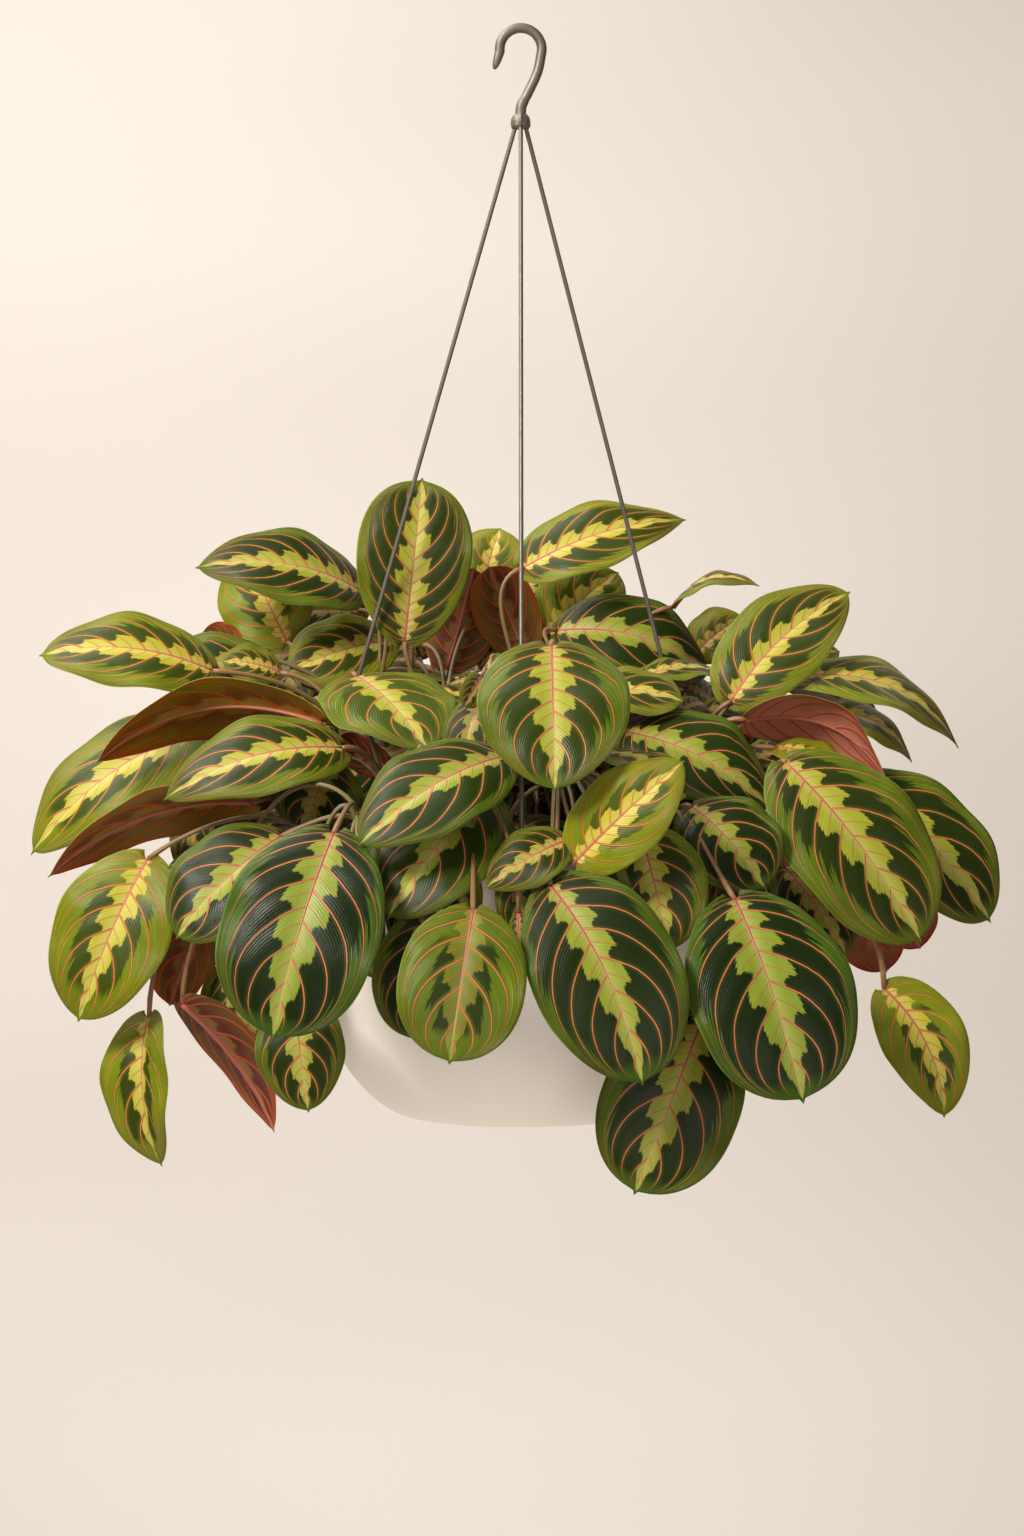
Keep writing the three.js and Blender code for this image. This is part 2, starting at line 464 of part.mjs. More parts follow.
// A point of the blade's middle surface and the normal there. Each half rises from the
// midrib by the fold and then rolls down by the curl, and its edge is waved.
function bladePoint(leaf, t, s) {
  const { point, along, normal, edge, length, bow } = midrib(leaf, t);
  const half = 0.5 * leaf.width * halfWidth(t, leaf.taper);
  const side = Math.sign(s);
  const turn = leaf.curl * Math.abs(s);
  const out = (half * (Math.sin(leaf.fold) - Math.sin(leaf.fold - turn))) / leaf.curl;
  let lift = (half * (Math.cos(leaf.fold - turn) - Math.cos(leaf.fold))) / leaf.curl;
  const shift = side > 0 ? 0 : 1.9;
  const wave = Math.sin(4.4 * Math.PI * t + leaf.phase + shift);
  lift += 0.03 * leaf.width * s * s * bow * wave;
  const lobe = -0.05 * length * Math.exp(-t / 0.1) * s * s;
  const place = point.addScaledVector(edge, side * out).addScaledVector(normal, lift);
  place.addScaledVector(along, lobe);
  const tilt = leaf.fold - turn;
  const up = normal.clone();
  if (side !== 0) {
    up.multiplyScalar(Math.cos(tilt)).addScaledVector(edge, -side * Math.sin(tilt));
  }
  return { place, up };
}

// The middle line of the leaf stalk. It rises from the stem and comes to the blade from
// inside, or nearly in line with a blade that points back over the stem. That of a leaf
// below the rim passes over the rim, and turns straight down where the leaf hangs deep.
function petioleLine(start, leaf) {
  const span = leaf.base.clone().sub(start);
  const distance = span.length();
  const level = vector([span.x, span.y, 0]).normalize();
  const low = leaf.base.z < 0;
  const axis = leaf.tip.clone().sub(leaf.base).normalize();
  const lean = axis.dot(level) < 0 ? 0.15 : 0.8;
  const deep = leaf.base.z < DEEP ? vector([0, 0, -1]) : level.clone().setZ(-0.8).normalize();
  const arrive = low ? deep : axis.addScaledVector(level, lean).normalize();
  const reach = leaf.reach ?? (low ? 0.55 : 0.34);
  const first = start.clone().addScaledVector(level, 0.12 * distance);
  first.z += leaf.rise * distance;
  const second = leaf.base.clone().addScaledVector(arrive, -reach * distance);
  return new THREE.CubicBezierCurve3(start, first, second, leaf.base).getPoints(PETIOLE_STEPS);
}

// The four corners of the stalk at each point of its line: left, top, right, bottom.
function petioleRings(line, leaf) {
  const { along, normal } = midrib(leaf, 0);
  const up = normal.clone();
  const rings = [];
  const last = line.length - 1;
  for (let i = last; i >= 0; i -= 1) {
    const ahead = line[Math.min(i + 1, last)].clone().sub(line[Math.max(i - 1, 0)]).normalize();
    if (i === last) {
      ahead.add(along).normalize();
    }
    up.addScaledVector(ahead, -up.dot(ahead)).normalize();
    const side = ahead.clone().cross(up);
    const radius = PETIOLE_RADII[0] + ((PETIOLE_RADII[1] - PETIOLE_RADII[0]) * i) / last;
    rings.unshift([
      line[i].clone().addScaledVector(side, -radius),
      line[i].clone().addScaledVector(up, radius),
      line[i].clone().addScaledVector(side, radius),
      line[i].clone().addScaledVector(up, -radius),
    ]);
  }
  return rings;
}

// A leaf with its stalk as one closed surface. The blade has the same triangles on both
// faces, with a strip round the edge, and grows out of the last ring of the stalk.
function leafBody(start, leaf) {
  const points = [];
  const triangles = [];
  const add = (point) => points.push(point) - 1;
  const rings = petioleRings(petioleLine(start, leaf), leaf).map((ring) => ring.map(add));
  for (let i = 0; i < rings.length - 1; i += 1) {
    for (let k = 0; k < 4; k += 1) {
      const [a, b] = [rings[i][k], rings[i][(k + 1) % 4]];
      const [c, d] = [rings[i + 1][(k + 1) % 4], rings[i + 1][k]];
      triangles.push(a, b, c, a, c, d);
    }
  }
  const [first] = rings;
  triangles.push(first[0], first[3], first[2], first[0], first[2], first[1]);
  const { steps, across } = bladeGrid(leaf);
  const rows = steps.map((t) => bladeRow(leaf, t, across, add));
  const [left, top, right, bottom] = rings[rings.length - 1];
  const last = across.length - 1;
  const [near] = rows;
  for (let j = 0; j < last; j += 1) {
    triangles.push(top, near.upper[j + 1], near.upper[j], bottom, near.lower[j], near.lower[j + 1]);
  }
  triangles.push(left, top, near.upper[0], left, near.upper[0], near.lower[0], bottom, left, near.lower[0]);
  triangles.push(top, right, near.upper[last], right, near.lower[last], near.upper[last]);
  triangles.push(right, bottom, near.lower[last]);
  for (let i = 0; i < rows.length - 1; i += 1) {
    const [here, next] = [rows[i], rows[i + 1]];
    for (let j = 0; j < last; j += 1) {
      triangles.push(here.upper[j], here.upper[j + 1], next.upper[j + 1]);
      triangles.push(here.upper[j], next.upper[j + 1], next.upper[j]);
      triangles.push(here.lower[j], next.lower[j + 1], here.lower[j + 1]);
      triangles.push(here.lower[j], next.lower[j], next.lower[j + 1]);
    }
    triangles.push(here.upper[0], next.upper[0], next.lower[0], here.upper[0], next.lower[0], here.lower[0]);
    triangles.push(here.upper[last], next.lower[last], next.upper[last]);
    triangles.push(here.upper[last], here.lower[last], next.lower[last]);
  }
  const end = rows[rows.length - 1];
  const tip = bladePoint(leaf, 1, 0);
  const above = add(tip.place.clone().addScaledVector(tip.up, 0.5 * BLADE_THICKNESS));
  const below = add(tip.place.clone().addScaledVector(tip.up, -0.5 * BLADE_THICKNESS));
  for (let j = 0; j < last; j += 1) {
    triangles.push(end.upper[j], end.upper[j + 1], above, end.lower[j + 1], end.lower[j], below);
  }
  triangles.push(end.lower[0], end.upper[0], above, end.lower[0], above, below);
  triangles.push(end.upper[last], end.lower[last], below, end.upper[last], below, above);
  return meshOf(points, triangles);
}

function bladeGrid(leaf) {
  if (leaf.width < SMALL_LEAF) {
    return { steps: SMALL_STEPS, across: SMALL_ACROSS };
  }
  return { steps: leaf.width > WIDE_LEAF ? WIDE_STEPS : NARROW_STEPS, across: BLADE_ACROSS };
}

function bladeRow(leaf, t, across, add) {
  const row = { upper: [], lower: [] };
  across.forEach((s) => {
    const { place, up } = bladePoint(leaf, t, s);
    row.upper.push(add(place.clone().addScaledVector(up, 0.5 * BLADE_THICKNESS)));
    row.lower.push(add(place.clone().addScaledVector(up, -0.5 * BLADE_THICKNESS)));
  });
  return row;
}

const leaves = Object.fromEntries(LEAVES.map((row, index) => [row[0], readLeaf(row, index)]));

function leafyStem([, [x, y], top, names]) {
  const foot = vector([x, y, -SOIL_DEPTH - STEM_ROOT]);
  const collarPoint = vector([x, y, -10]);
  const end = vector(top);
  const knee = collarPoint.clone().add(end).multiplyScalar(0.5).add(vector([0, 0, 4]));
  const stalk = rod([foot, collarPoint, knee, end], [STEM_RADIUS, STEM_RADIUS, 2.4, 2], 5);
  const pieces = names.map((name, k) => {
    const start = knee.clone().lerp(end, k % 2 === 0 ? 0.95 : 0.55);
    return leafBody(start, leaves[name]);
  });
  return fuse([stalk, ...pieces]).simplify(SLIVER).translate([0, 0, RIM_Z]);
}

// The group

const COLOURS = { bowl: 0xf1ece4, soil: 0x3b2a1e, metal: 0x7d766c, leaf: 0x3f6b34 };

const group = new THREE.Group();

function place(name, solid, colour) {
  const material = new THREE.MeshStandardMaterial({ color: colour });
  const mesh = new THREE.Mesh(toGeometry(solid), material);
  mesh.name = name;
  group.add(mesh);
}

place("pot", bowl(), COLOURS.bowl);
place("soil", soil(), COLOURS.soil);
place("hook", hook(), COLOURS.metal);
place("collar", collar(), COLOURS.metal);
Object.entries(WIRE_AZIMUTHS).forEach(([name, azimuth]) => place(name, wire(azimuth), COLOURS.metal));
STEMS.forEach((row) => place(`stem_${row[0]}`, leafyStem(row), COLOURS.leaf));

export default group;
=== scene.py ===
"""Looks for a prayer plant in a hanging bowl. Lengths are millimetres until a mesh is made."""

import math
import random
from functools import partial
from types import SimpleNamespace

import bpy
import numpy as np
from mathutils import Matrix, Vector, noise
from mathutils.kdtree import KDTree


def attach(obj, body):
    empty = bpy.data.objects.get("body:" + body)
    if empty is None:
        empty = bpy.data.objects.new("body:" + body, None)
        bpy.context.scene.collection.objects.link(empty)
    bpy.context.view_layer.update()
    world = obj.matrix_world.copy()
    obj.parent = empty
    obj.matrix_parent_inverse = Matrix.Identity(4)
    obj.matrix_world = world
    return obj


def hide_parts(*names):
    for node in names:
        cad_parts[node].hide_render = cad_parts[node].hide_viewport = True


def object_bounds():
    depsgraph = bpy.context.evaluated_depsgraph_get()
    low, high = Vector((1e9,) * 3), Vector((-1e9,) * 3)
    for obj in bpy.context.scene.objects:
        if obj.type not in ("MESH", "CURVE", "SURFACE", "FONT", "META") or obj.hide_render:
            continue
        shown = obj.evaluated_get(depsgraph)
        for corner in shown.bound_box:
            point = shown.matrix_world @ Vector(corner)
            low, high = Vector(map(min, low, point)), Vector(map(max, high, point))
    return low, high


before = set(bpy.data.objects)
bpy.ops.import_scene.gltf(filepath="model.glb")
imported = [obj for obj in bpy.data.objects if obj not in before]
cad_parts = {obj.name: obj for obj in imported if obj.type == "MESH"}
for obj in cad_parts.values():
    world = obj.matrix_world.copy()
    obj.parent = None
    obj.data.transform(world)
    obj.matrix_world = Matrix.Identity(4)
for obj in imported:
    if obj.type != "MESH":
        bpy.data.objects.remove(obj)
CAD_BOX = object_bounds()

MM = 0.001
GAP = 0.3
RIM_Z = -470
RIM_RADIUS = 140
BOWL_HEIGHT = 147
FOOT_RADIUS = 58
WALL = 4
FLOOR = 5
SOIL_DEPTH = 16
SOIL_RISE = 3
STEM_ROOT = 24

# Where the camera stands, from the middle of the rim.
CAMERA_AWAY = 1800
CAMERA_SIDE = -5
CAMERA_HEIGHT = 51

WIRE_RADIUS = 1.25
WIRE_START_RADIUS = 3.8
WIRE_AZIMUTHS = {"wire_front": -90, "wire_left": 153, "wire_right": 36}
WIRE_SOCKET = 2.6
HOLE_BELOW_RIM = 10
BAR_RADIUS = 2.85
SHANK_RADIUS = 3.1
BEND_RADIUS = 12
COLLAR_TOP = -46.7
COLLAR_BOTTOM = -54.2
SHANK_SOCKET = 3.8

# One row a leaf, from the middle of the rim: name, base, tip, the way the upper side looks,
# full width, then the arch as a share of the length, and the fold and the curl of each half
# in degrees. A last number says how far the outline tapers to the tip.
LEAVES = [
    ["A", [-68, 50, 125], [-58, 66, 223], [0.1, -1, 0.15], 68, 0.05, 10, 15, -0.3],
    ["B", [-95, 72, 156], [-191, 50, 168], [0, -0.75, 0.66], 62, 0.14, 10, 22, 0.5],
    ["C", [-139, 84, 126], [-166, 108, 180], [-0.2, -1, 0.35], 58, 0.05, 10, 18],
    ["D", [-175, -8, 106], [-272, -20, 114], [-0.1, -0.75, 0.66], 58, 0.13, 10, 24, 0.35],
    ["E", [-76, 84, 127], [-137, 60, 107], [-0.1, -0.93, 0.4], 48, 0.1, 10, 18],
    ["F", [-139, 24, 106], [-172, 16, 112], [0, -0.8, 0.6], 28, 0.1, 10, 18],
    ["G", [-164, 60, 120], [-188, 62, 131], [0, 1, 0.3], 22, 0.1, 10, 18],
    ["H1", [-44, 98, 110], [-28, 100, 172], [0.25, 1, 0.2], 46, 0.06, 14, 18],
    ["H2", [4, 92, 118], [-19, 86, 172], [-0.3, 1, 0.3], 40, 0.08, 14, 18],
    ["I", [-26, 120, 150], [-12, 130, 198], [0, -0.8, 0.6], 44, 0.06, 10, 18],
    ["J", [2, 78, 170], [100, 98, 200], [-0.1, -0.8, 0.6], 52, 0.1, 10, 20, 0.7],
    ["K", [17, 104, 132], [60, 118, 170], [0.1, -0.8, 0.5], 54, 0.1, 10, 18, 0.3],
    ["L", [22, 86, 133], [114, 98, 106], [0.05, -0.85, 0.5], 58, 0.2, 10, 20, 0.35],
    ["M", [91, 84, 147], [141, 62, 158], [0.05, -0.35, 0.93], 40, 0.2, 10, 24, 0.8],
    ["N", [104, 112, 118], [136, 118, 143], [0.3, -0.6, 0.7], 36, 0.1, 10, 18],
    ["O", [120, 2, 89], [191, 26, 153], [-0.15, -0.9, 0.4], 58, 0.04, 12, 22, 0.35],
    ["P", [160, 14, 103], [253, 24, 62], [0.3, -0.5, 0.8], 54, 0.18, 10, 20, 0.75],
    ["Q", [160, 46, 112], [187, 48, 119], [0.2, -0.6, 0.8], 28, 0.1, 10, 18, 0.3],
    ["R", [126, -28, 78], [204, -42, 43], [0.2, 0.75, 0.65], 40, 0.28, 10, 30, 0.8],
    ["S", [168, 26, 82], [227, 32, 54], [0.2, -0.5, 0.85], 42, 0.2, 10, 24, 0.6],
    ["T", [144, -22, 62], [182, -34, 49], [0.2, -0.6, 0.8], 30, 0.1, 10, 18, 0.2],
    ["U", [145, -70, 54], [217, -90, -44], [0.1, -0.9, 0.45], 80, 0.1, 8, 15, 0.1],
    ["V", [190, -12, 44], [263, -34, -36], [0.25, -0.85, 0.45], 70, 0.1, 8, 15, 0.15],
    ["W", [59, -30, 71], [139, -44, 28], [0.03, -0.72, 0.69], 66, 0.12, 8, 15, 0.35],
    ["X", [16, -122, 116], [17, -170, 38], [0, -0.84, 0.54], 81, 0.08, 8, 15, 0.3],
    ["Y", [-92, -30, 102], [-50, -92, 60], [0.1, -0.55, 0.83], 76, 0.06, 6, 15, 0.45],
    ["Z", [-111, -30, 76], [-238, -40, 53], [-0.1, 0.7, 0.7], 48, 0.22, 12, 30, 0.5],
    ["AB", [-99, -54, 62], [-196, -74, 33], [-0.1, -0.78, 0.62], 56, 0.14, 8, 18, 0.55],
    ["AC", [-182, 18, 74], [-280, 4, 1], [-0.3, -0.8, 0.55], 64, 0.13, 8, 15, 0.35],
    ["AD", [-150, -42, 32], [-262, -54, -10], [-0.1, 0.6, 0.8], 46, 0.14, 10, 28, 0.5],
    ["AE", [-205, -66, 1], [-242, -76, -88], [-0.2, -0.95, 0.2], 68, 0.08, 10, 15, 0.25],
    ["AF", [-130, -90, 14], [-185, -110, -41], [-0.2, -0.85, 0.5], 62, 0.1, 8, 15, 0.1],
    ["AG", [-106, -30, 54], [-122, -44, 14], [0, -0.9, 0.45], 52, 0.08, 8, 18, 0.1],
    ["AH", [-98, -154, 17], [-128, -182, -89], [-0.1, -0.95, 0.25], 84, 0.1, 7, 15],
    ["AI", [-9, -124, 57], [-85, -161, 10], [-0.1, -0.8, 0.6], 60, 0.12, 9, 28, 0.3],
    ["AJ", [-18, -114, 37], [-70, -156, -28], [-0.1, -0.85, 0.5], 64, 0.1, 8, 22, 0.2],
    ["AK", [-25, -172, -22], [-37, -196, -100], [0, -1, 0.15], 66, 0.08, 8, 15],
    ["AL", [-50, -150, -26], [-54, -155, -92], [-0.1, -1, 0.1], 52, 0.06, 8, 18],
    ["AM", [15, -158, -10], [62, -188, -112], [0.05, -0.95, 0.25], 78, 0.08, 8, 15, 0.1],
    ["AN", [112, -142, -18], [145, -176, -122], [0.15, -0.95, 0.25], 88, 0.1, 7, 15],
    ["AO", [97, -122, -80], [59, -138, -174], [0, -1, 0.1], 74, 0.08, 8, 15],
    ["AP", [28, -152, 2], [85, -158, 55], [-0.2, -0.95, 0.2], 48, 0.06, 10, 22, 0.4],
    ["AQ", [63, -132, 18], [78, -146, -46], [0, -0.97, 0.25], 56, 0.06, 8, 18, 0.2],
    ["AR", [92, -94, 30], [130, -116, -14], [0.2, -0.85, 0.5], 60, 0.1, 8, 15, 0.1],
    ["AS", [146, -44, -4], [180, -54, -53], [0.3, -0.9, 0.3], 46, 0.08, 8, 18, 0.2],
    ["AT", [186, -18, -20], [206, -24, -64], [0.2, 1, 0.1], 42, 0.06, 10, 18, 0.2],
    ["AU", [212, -2, -20], [227, -6, -52], [0.3, 0.9, 0.2], 38, 0.06, 10, 18, 0.3],
    ["AV", [197, -86, -69], [228, -98, -138], [0.1, -0.95, 0.2], 47, 0.08, 10, 18, 0.45],
    ["AW", [23, -148, 13], [-19, -153, -12], [0, -0.85, 0.5], 34, 0.1, 8, 18, 0.5],
    ["AX", [-172, -36, -26], [-196, -40, -82], [-0.5, 0.8, 0.2], 44, 0.08, 20, 18, 0.1],
    ["AY", [-162, -54, -57], [-143, -58, -107], [-0.2, -0.9, 0.2], 48, 0.08, 8, 18, 0.2],
    ["AZ", [-205, -60, -86], [-197, -66, -168], [-0.6, -0.75, 0.1], 52, 0.12, 30, 30, 0.5],
    ["BA", [-185, -76, -78], [-134, -86, -147], [0.45, 0.85, 0.25], 36, 0.1, 30, 20, 0.6],
    ["BB", [-121, -98, -72], [-114, -106, -134], [-0.2, -1, 0.1], 50, 0.08, 8, 18, 0.3],
    ["CA", [-182, 44, 8], [-202, 56, -66], [-0.95, 0.25, 0.25], 56, 0.08, 8, 18],
    ["CB", [-176, 62, 56], [-240, 84, 14], [-0.5, 0.3, 0.8], 62, 0.12, 8, 15],
    ["CC", [-120, 84, 70], [-182, 112, 62], [-0.3, 0.4, 0.85], 58, 0.1, 8, 18],
    ["CD", [-134, 92, -6], [-156, 112, -84], [-0.7, 0.65, 0.25], 66, 0.08, 8, 15],
    ["CE", [-126, 120, 46], [-178, 164, 0], [-0.5, 0.5, 0.7], 68, 0.12, 8, 15],
    ["CF", [-100, 132, 104], [-150, 186, 92], [-0.3, 0.3, 0.9], 60, 0.14, 8, 15],
    ["CG", [-62, 144, -8], [-72, 174, -96], [-0.3, 0.95, 0.25], 74, 0.08, 8, 15],
    ["CH", [-66, 152, 50], [-90, 224, 8], [-0.2, 0.6, 0.75], 70, 0.12, 8, 15],
    ["CI", [-46, 150, 108], [-68, 222, 100], [-0.1, 0.2, 0.97], 62, 0.14, 8, 15],
    ["CJ", [12, 152, -8], [8, 182, -102], [0, 0.97, 0.25], 76, 0.08, 8, 15],
    ["CK", [2, 160, 54], [-8, 236, 10], [0, 0.6, 0.8], 68, 0.12, 8, 15],
    ["CL", [22, 152, 108], [38, 226, 92], [0.1, 0.25, 0.95], 62, 0.14, 8, 15],
    ["CM", [4, 150, 152], [10, 204, 176], [0, 0.5, 0.85], 52, 0.1, 8, 18],
    ["CN", [82, 132, -8], [94, 158, -96], [0.4, 0.9, 0.25], 72, 0.08, 8, 15],
    ["CO", [80, 146, 50], [122, 208, 10], [0.3, 0.55, 0.75], 68, 0.12, 8, 15],
    ["CP", [84, 138, 100], [130, 190, 84], [0.3, 0.25, 0.9], 58, 0.14, 8, 18],
    ["CQ", [142, 88, -8], [166, 106, -86], [0.75, 0.6, 0.25], 66, 0.08, 8, 15],
    ["CR", [144, 94, 52], [206, 124, 8], [0.5, 0.4, 0.8], 66, 0.12, 8, 15],
    ["CS", [150, 74, 98], [212, 98, 76], [0.3, 0.2, 0.9], 54, 0.14, 8, 18],
    ["CT", [184, 30, 4], [204, 40, -58], [0.95, 0.2, 0.25], 52, 0.08, 8, 18],
    ["CU", [182, 36, 54], [244, 48, 6], [0.6, 0.2, 0.8], 60, 0.12, 8, 15],
    ["DA", [-10, -30, 86], [-6, -88, 72], [0, -0.4, 0.9], 50, 0.1, 8, 18],
    ["DB", [30, -10, 92], [92, -22, 88], [0, -0.6, 0.8], 46, 0.1, 8, 18],
    ["DC", [-20, -4, 84], [-76, 6, 92], [0, -0.2, 0.97], 46, 0.12, 8, 18],
    ["DD", [12, 8, 92], [44, 44, 96], [0.1, -0.1, 0.98], 42, 0.1, 8, 18],
    ["DE", [-60, 112, 126], [-104, 148, 134], [-0.1, -0.1, 1], 50, 0.1, 8, 18],
    ["DF", [38, 130, 118], [84, 160, 126], [0.1, -0.1, 1], 50, 0.1, 8, 18],
    ["DH", [68, 14, 102], [116, 32, 106], [0, -0.3, 0.95], 42, 0.1, 8, 18],
    ["DI", [-56, 18, 74], [-104, 22, 66], [0, 0, 1], 36, 0.1, 8, 18],
    ["DK", [42, -54, 58], [84, -88, 44], [0.3, -0.4, 0.85], 42, 0.1, 8, 18],
    ["DL", [-112, 32, 66], [-158, 44, 56], [-0.2, 0, 1], 42, 0.12, 8, 18],
    ["DM", [112, 36, 72], [160, 50, 64], [0.2, 0.1, 1], 40, 0.12, 8, 18],
    ["DN", [-28, 74, 98], [-52, 122, 100], [0, 0.2, 0.97], 46, 0.1, 8, 18],
    ["DO", [26, 84, 92], [44, 134, 94], [0, 0.2, 0.97], 46, 0.1, 8, 18],
    ["DP", [70, 76, 68], [116, 112, 62], [0.2, 0.2, 0.96], 46, 0.12, 8, 18],
    ["DQ", [-70, 84, 82], [-110, 112, 78], [-0.2, 0.2, 0.96], 40, 0.12, 8, 18],
]

# One row a leafy stem: its name, where it stands in the soil, its top, and its leaves.
STEMS = [
    ["front_left", [-18, -84], [-26, -112, 26], ["AI", "AJ", "AK", "AL"]],
    ["front", [14, -70], [20, -96, 40], ["X", "AP", "AW", "AM", "AQ"]],
    ["front_right", [62, -72], [80, -84, 16], ["AN", "AO", "AR"]],
    ["right_front", [92, -46], [120, -46, 4], ["AS", "AV"]],
    ["right_low", [107, -8], [141, -14, 26], ["U", "V", "AT", "AU"]],
    ["right_mid", [72, -16], [96, -18, 40], ["W", "R", "T", "DK"]],
    ["right_top", [76, 18], [100, 14, 50], ["O", "P", "S", "Q"]],
    ["left_front", [-66, -76], [-88, -100, 20], ["AH", "AF", "BB", "AY"]],
    ["left_low", [-96, -50], [-116, -60, 4], ["AE", "AX", "AZ", "BA"]],
    ["left_mid", [-60, -38], [-76, -40, 40], ["AB", "AG", "Y"]],
    ["left_out", [-92, 0], [-120, 4, 30], ["AC", "AD", "Z"]],
    ["left_top", [-66, 12], [-96, 10, 56], ["D", "F", "DL", "DI"]],
    ["back_left", [-62, 44], [-84, 54, 60], ["B", "C", "G", "E"]],
    ["top_left", [-34, 40], [-46, 54, 70], ["A", "H1", "I", "DE", "DN"]],
    ["top_right", [4, 40], [6, 60, 70], ["J", "K", "H2", "DF", "DO"]],
    ["back_right", [44, 46], [52, 62, 60], ["L", "M", "N", "DP"]],
    ["middle", [2, -14], [2, -10, 62], ["DA", "DB", "DC", "DD", "DH"]],
    ["rear_left_low", [-100, 26], [-126, 34, 14], ["CA", "CB"]],
    ["rear_left", [-80, 62], [-98, 80, 26], ["CC", "CD", "CE", "CF", "DQ"]],
    ["rear_mid_left", [-34, 88], [-40, 112, 26], ["CG", "CH", "CI"]],
    ["rear_mid", [10, 92], [10, 118, 26], ["CJ", "CK", "CL", "CM"]],
    ["rear_right", [56, 84], [66, 106, 26], ["CN", "CO", "CP"]],
    ["rear_right_low", [98, 44], [122, 54, 20], ["CQ", "CR", "CS", "DM"]],
    ["rear_far_right", [108, 14], [132, 18, 12], ["CT", "CU"]],
]

# How far a leaf sweeps sideways as a share of its length, and the reach and the rise of its
# stalk as shares of the stalk's span, where they aren't usual.
SWEEP = {"O": -0.06, "AM": -0.05, "AV": -0.09}
REACH = {"U": 0.1, "AO": 0.9, "AY": 0.95}
RISE = {"AV": 0.16}

# How young a leaf looks: 0 is dark and mature, 1 fresh and yellow-green.
YOUTH = {
    "A": 0.5, "B": 0.3, "C": 0.85, "D": 0.7, "E": 0.6, "F": 0.6, "I": 0.9, "J": 0.7, "K": 0.8,
    "L": 0.15, "N": 0.8, "O": 0.62, "P": 0.55, "Q": 0.6, "T": 0.95, "U": 0.32, "V": 0.28,
    "W": 0.08, "X": 0.3, "Y": 0.38, "AB": 0.42, "AC": 0.68, "AE": 0.7, "AF": 0.15, "AG": 0.3,
    "AH": 0.0, "AI": 0.14, "AJ": 0.18, "AK": 0.36, "AL": 0.2, "AM": 0.1, "AN": 0.02,
    "AO": 0.2, "AP": 1.0, "AQ": 0.35, "AR": 0.12, "AS": 0.2, "AV": 0.8, "AW": 0.3,
    "AZ": 0.68, "BB": 0.22, "Z": 0.9, "G": 0.5, "H1": 0.3, "H2": 0.5, "R": 0.35,
    "S": 0.6, "AD": 0.7, "AX": 0.5, "M": 0.5, "BA": 0.15, "AY": 0.5,
}

# How far out the dark patches reach, as a share of the half width, where it isn't usual.
PATCH_REACH = {
    "AK": 0.4, "AP": 0.38, "AV": 0.38, "Y": 0.46, "X": 0.5, "U": 0.5, "V": 0.54, "A": 0.62,
    "J": 0.55, "O": 0.54, "B": 0.62, "D": 0.48,
}

# How faint the dark patches are against the green, where they aren't dark, and how pink the
# underside. Below zero it is the pale band that is faint, and the patches stand apart. In the
# second and third rows the fainter patches of leaves that face the light partly stand for a
# painted sheen.
FAINT_AND_SHEEN = {
    "AK": -0.6, "R": 0.7, "AT": 0.35, "AU": 0.5,
    "X": 0.22, "Y": 0.6, "AI": 0.2, "W": 0.25, "P": 0.2, "L": 0.15, "AJ": 0.25, "M": 0.3, "N": 0.4,
    "I": 0.6, "K": 0.35, "S": 0.2, "Q": 0.3, "T": 0.5, "AP": 0.3, "AC": 0.15, "D": 0.1, "AE": 0.15,
}

# How many long veins leave the midrib on each side, where it isn't six.
VEINS = {
    "A": 8, "B": 8, "D": 7, "J": 7, "O": 7, "X": 7, "AC": 7, "AE": 7, "P": 7, "AH": 7, "AN": 7,
    "AM": 7, "AO": 7, "U": 7, "W": 7, "AB": 7,
}


def unit(v):
    """The vector, or each of a row of them, at length one."""
    return v / np.maximum(np.linalg.norm(v, axis=-1, keepdims=True), 1e-9)


# The shape of a leaf


class Leaf:
    """A leaf as its row and the tables say, or as they usually are."""

    def __init__(self, row, index):
        name, base, tip, face, width, arch, fold, curl, *taper = row
        self.base, self.tip, self.face = (np.array(part, float) for part in (base, tip, face))
        self.width = width
        self.arch = arch
        self.fold = math.radians(fold)
        self.curl = math.radians(curl)
        self.taper = taper[0] if taper else 0
        self.sweep = SWEEP.get(name, 0)
        self.reach = REACH.get(name)
        self.rise = RISE.get(name, 0.42)
        self.phase = 2.4 * index
        draw = random.Random(f"leaf {name}")
        self.youth = YOUTH.get(name, draw.uniform(0.1, 0.6))
        self.patch = PATCH_REACH.get(name, 0.66 - 0.33 * self.youth)
        self.faint = FAINT_AND_SHEEN.get(name, 0)
        self.veins = VEINS.get(name, 6)
        self.seed = draw.random()
        self.grain = MIDDLING if width < SMALL_LEAF else FINE

    def look(self):
        return np.array([self.youth, self.patch, self.seed])


def half_width(leaf, t):
    """The half width as a share of its greatest, a share t along the blade."""
    place = np.minimum(t / 0.972, 1) ** (1.05 - 0.3 * leaf.taper)
    narrow = 1 - max(leaf.taper, 0) * (np.maximum(t - 0.4, 0) / 0.6) ** 2
    body = narrow * np.sqrt(np.maximum(1 - np.abs(2 * place - 1) ** 2.25, 0))
    point = np.where(t > 0.5, 0.15 * np.minimum(np.maximum(1 - t, 0) / 0.08, 1) ** 1.2, 0)
    return np.maximum(body, point)


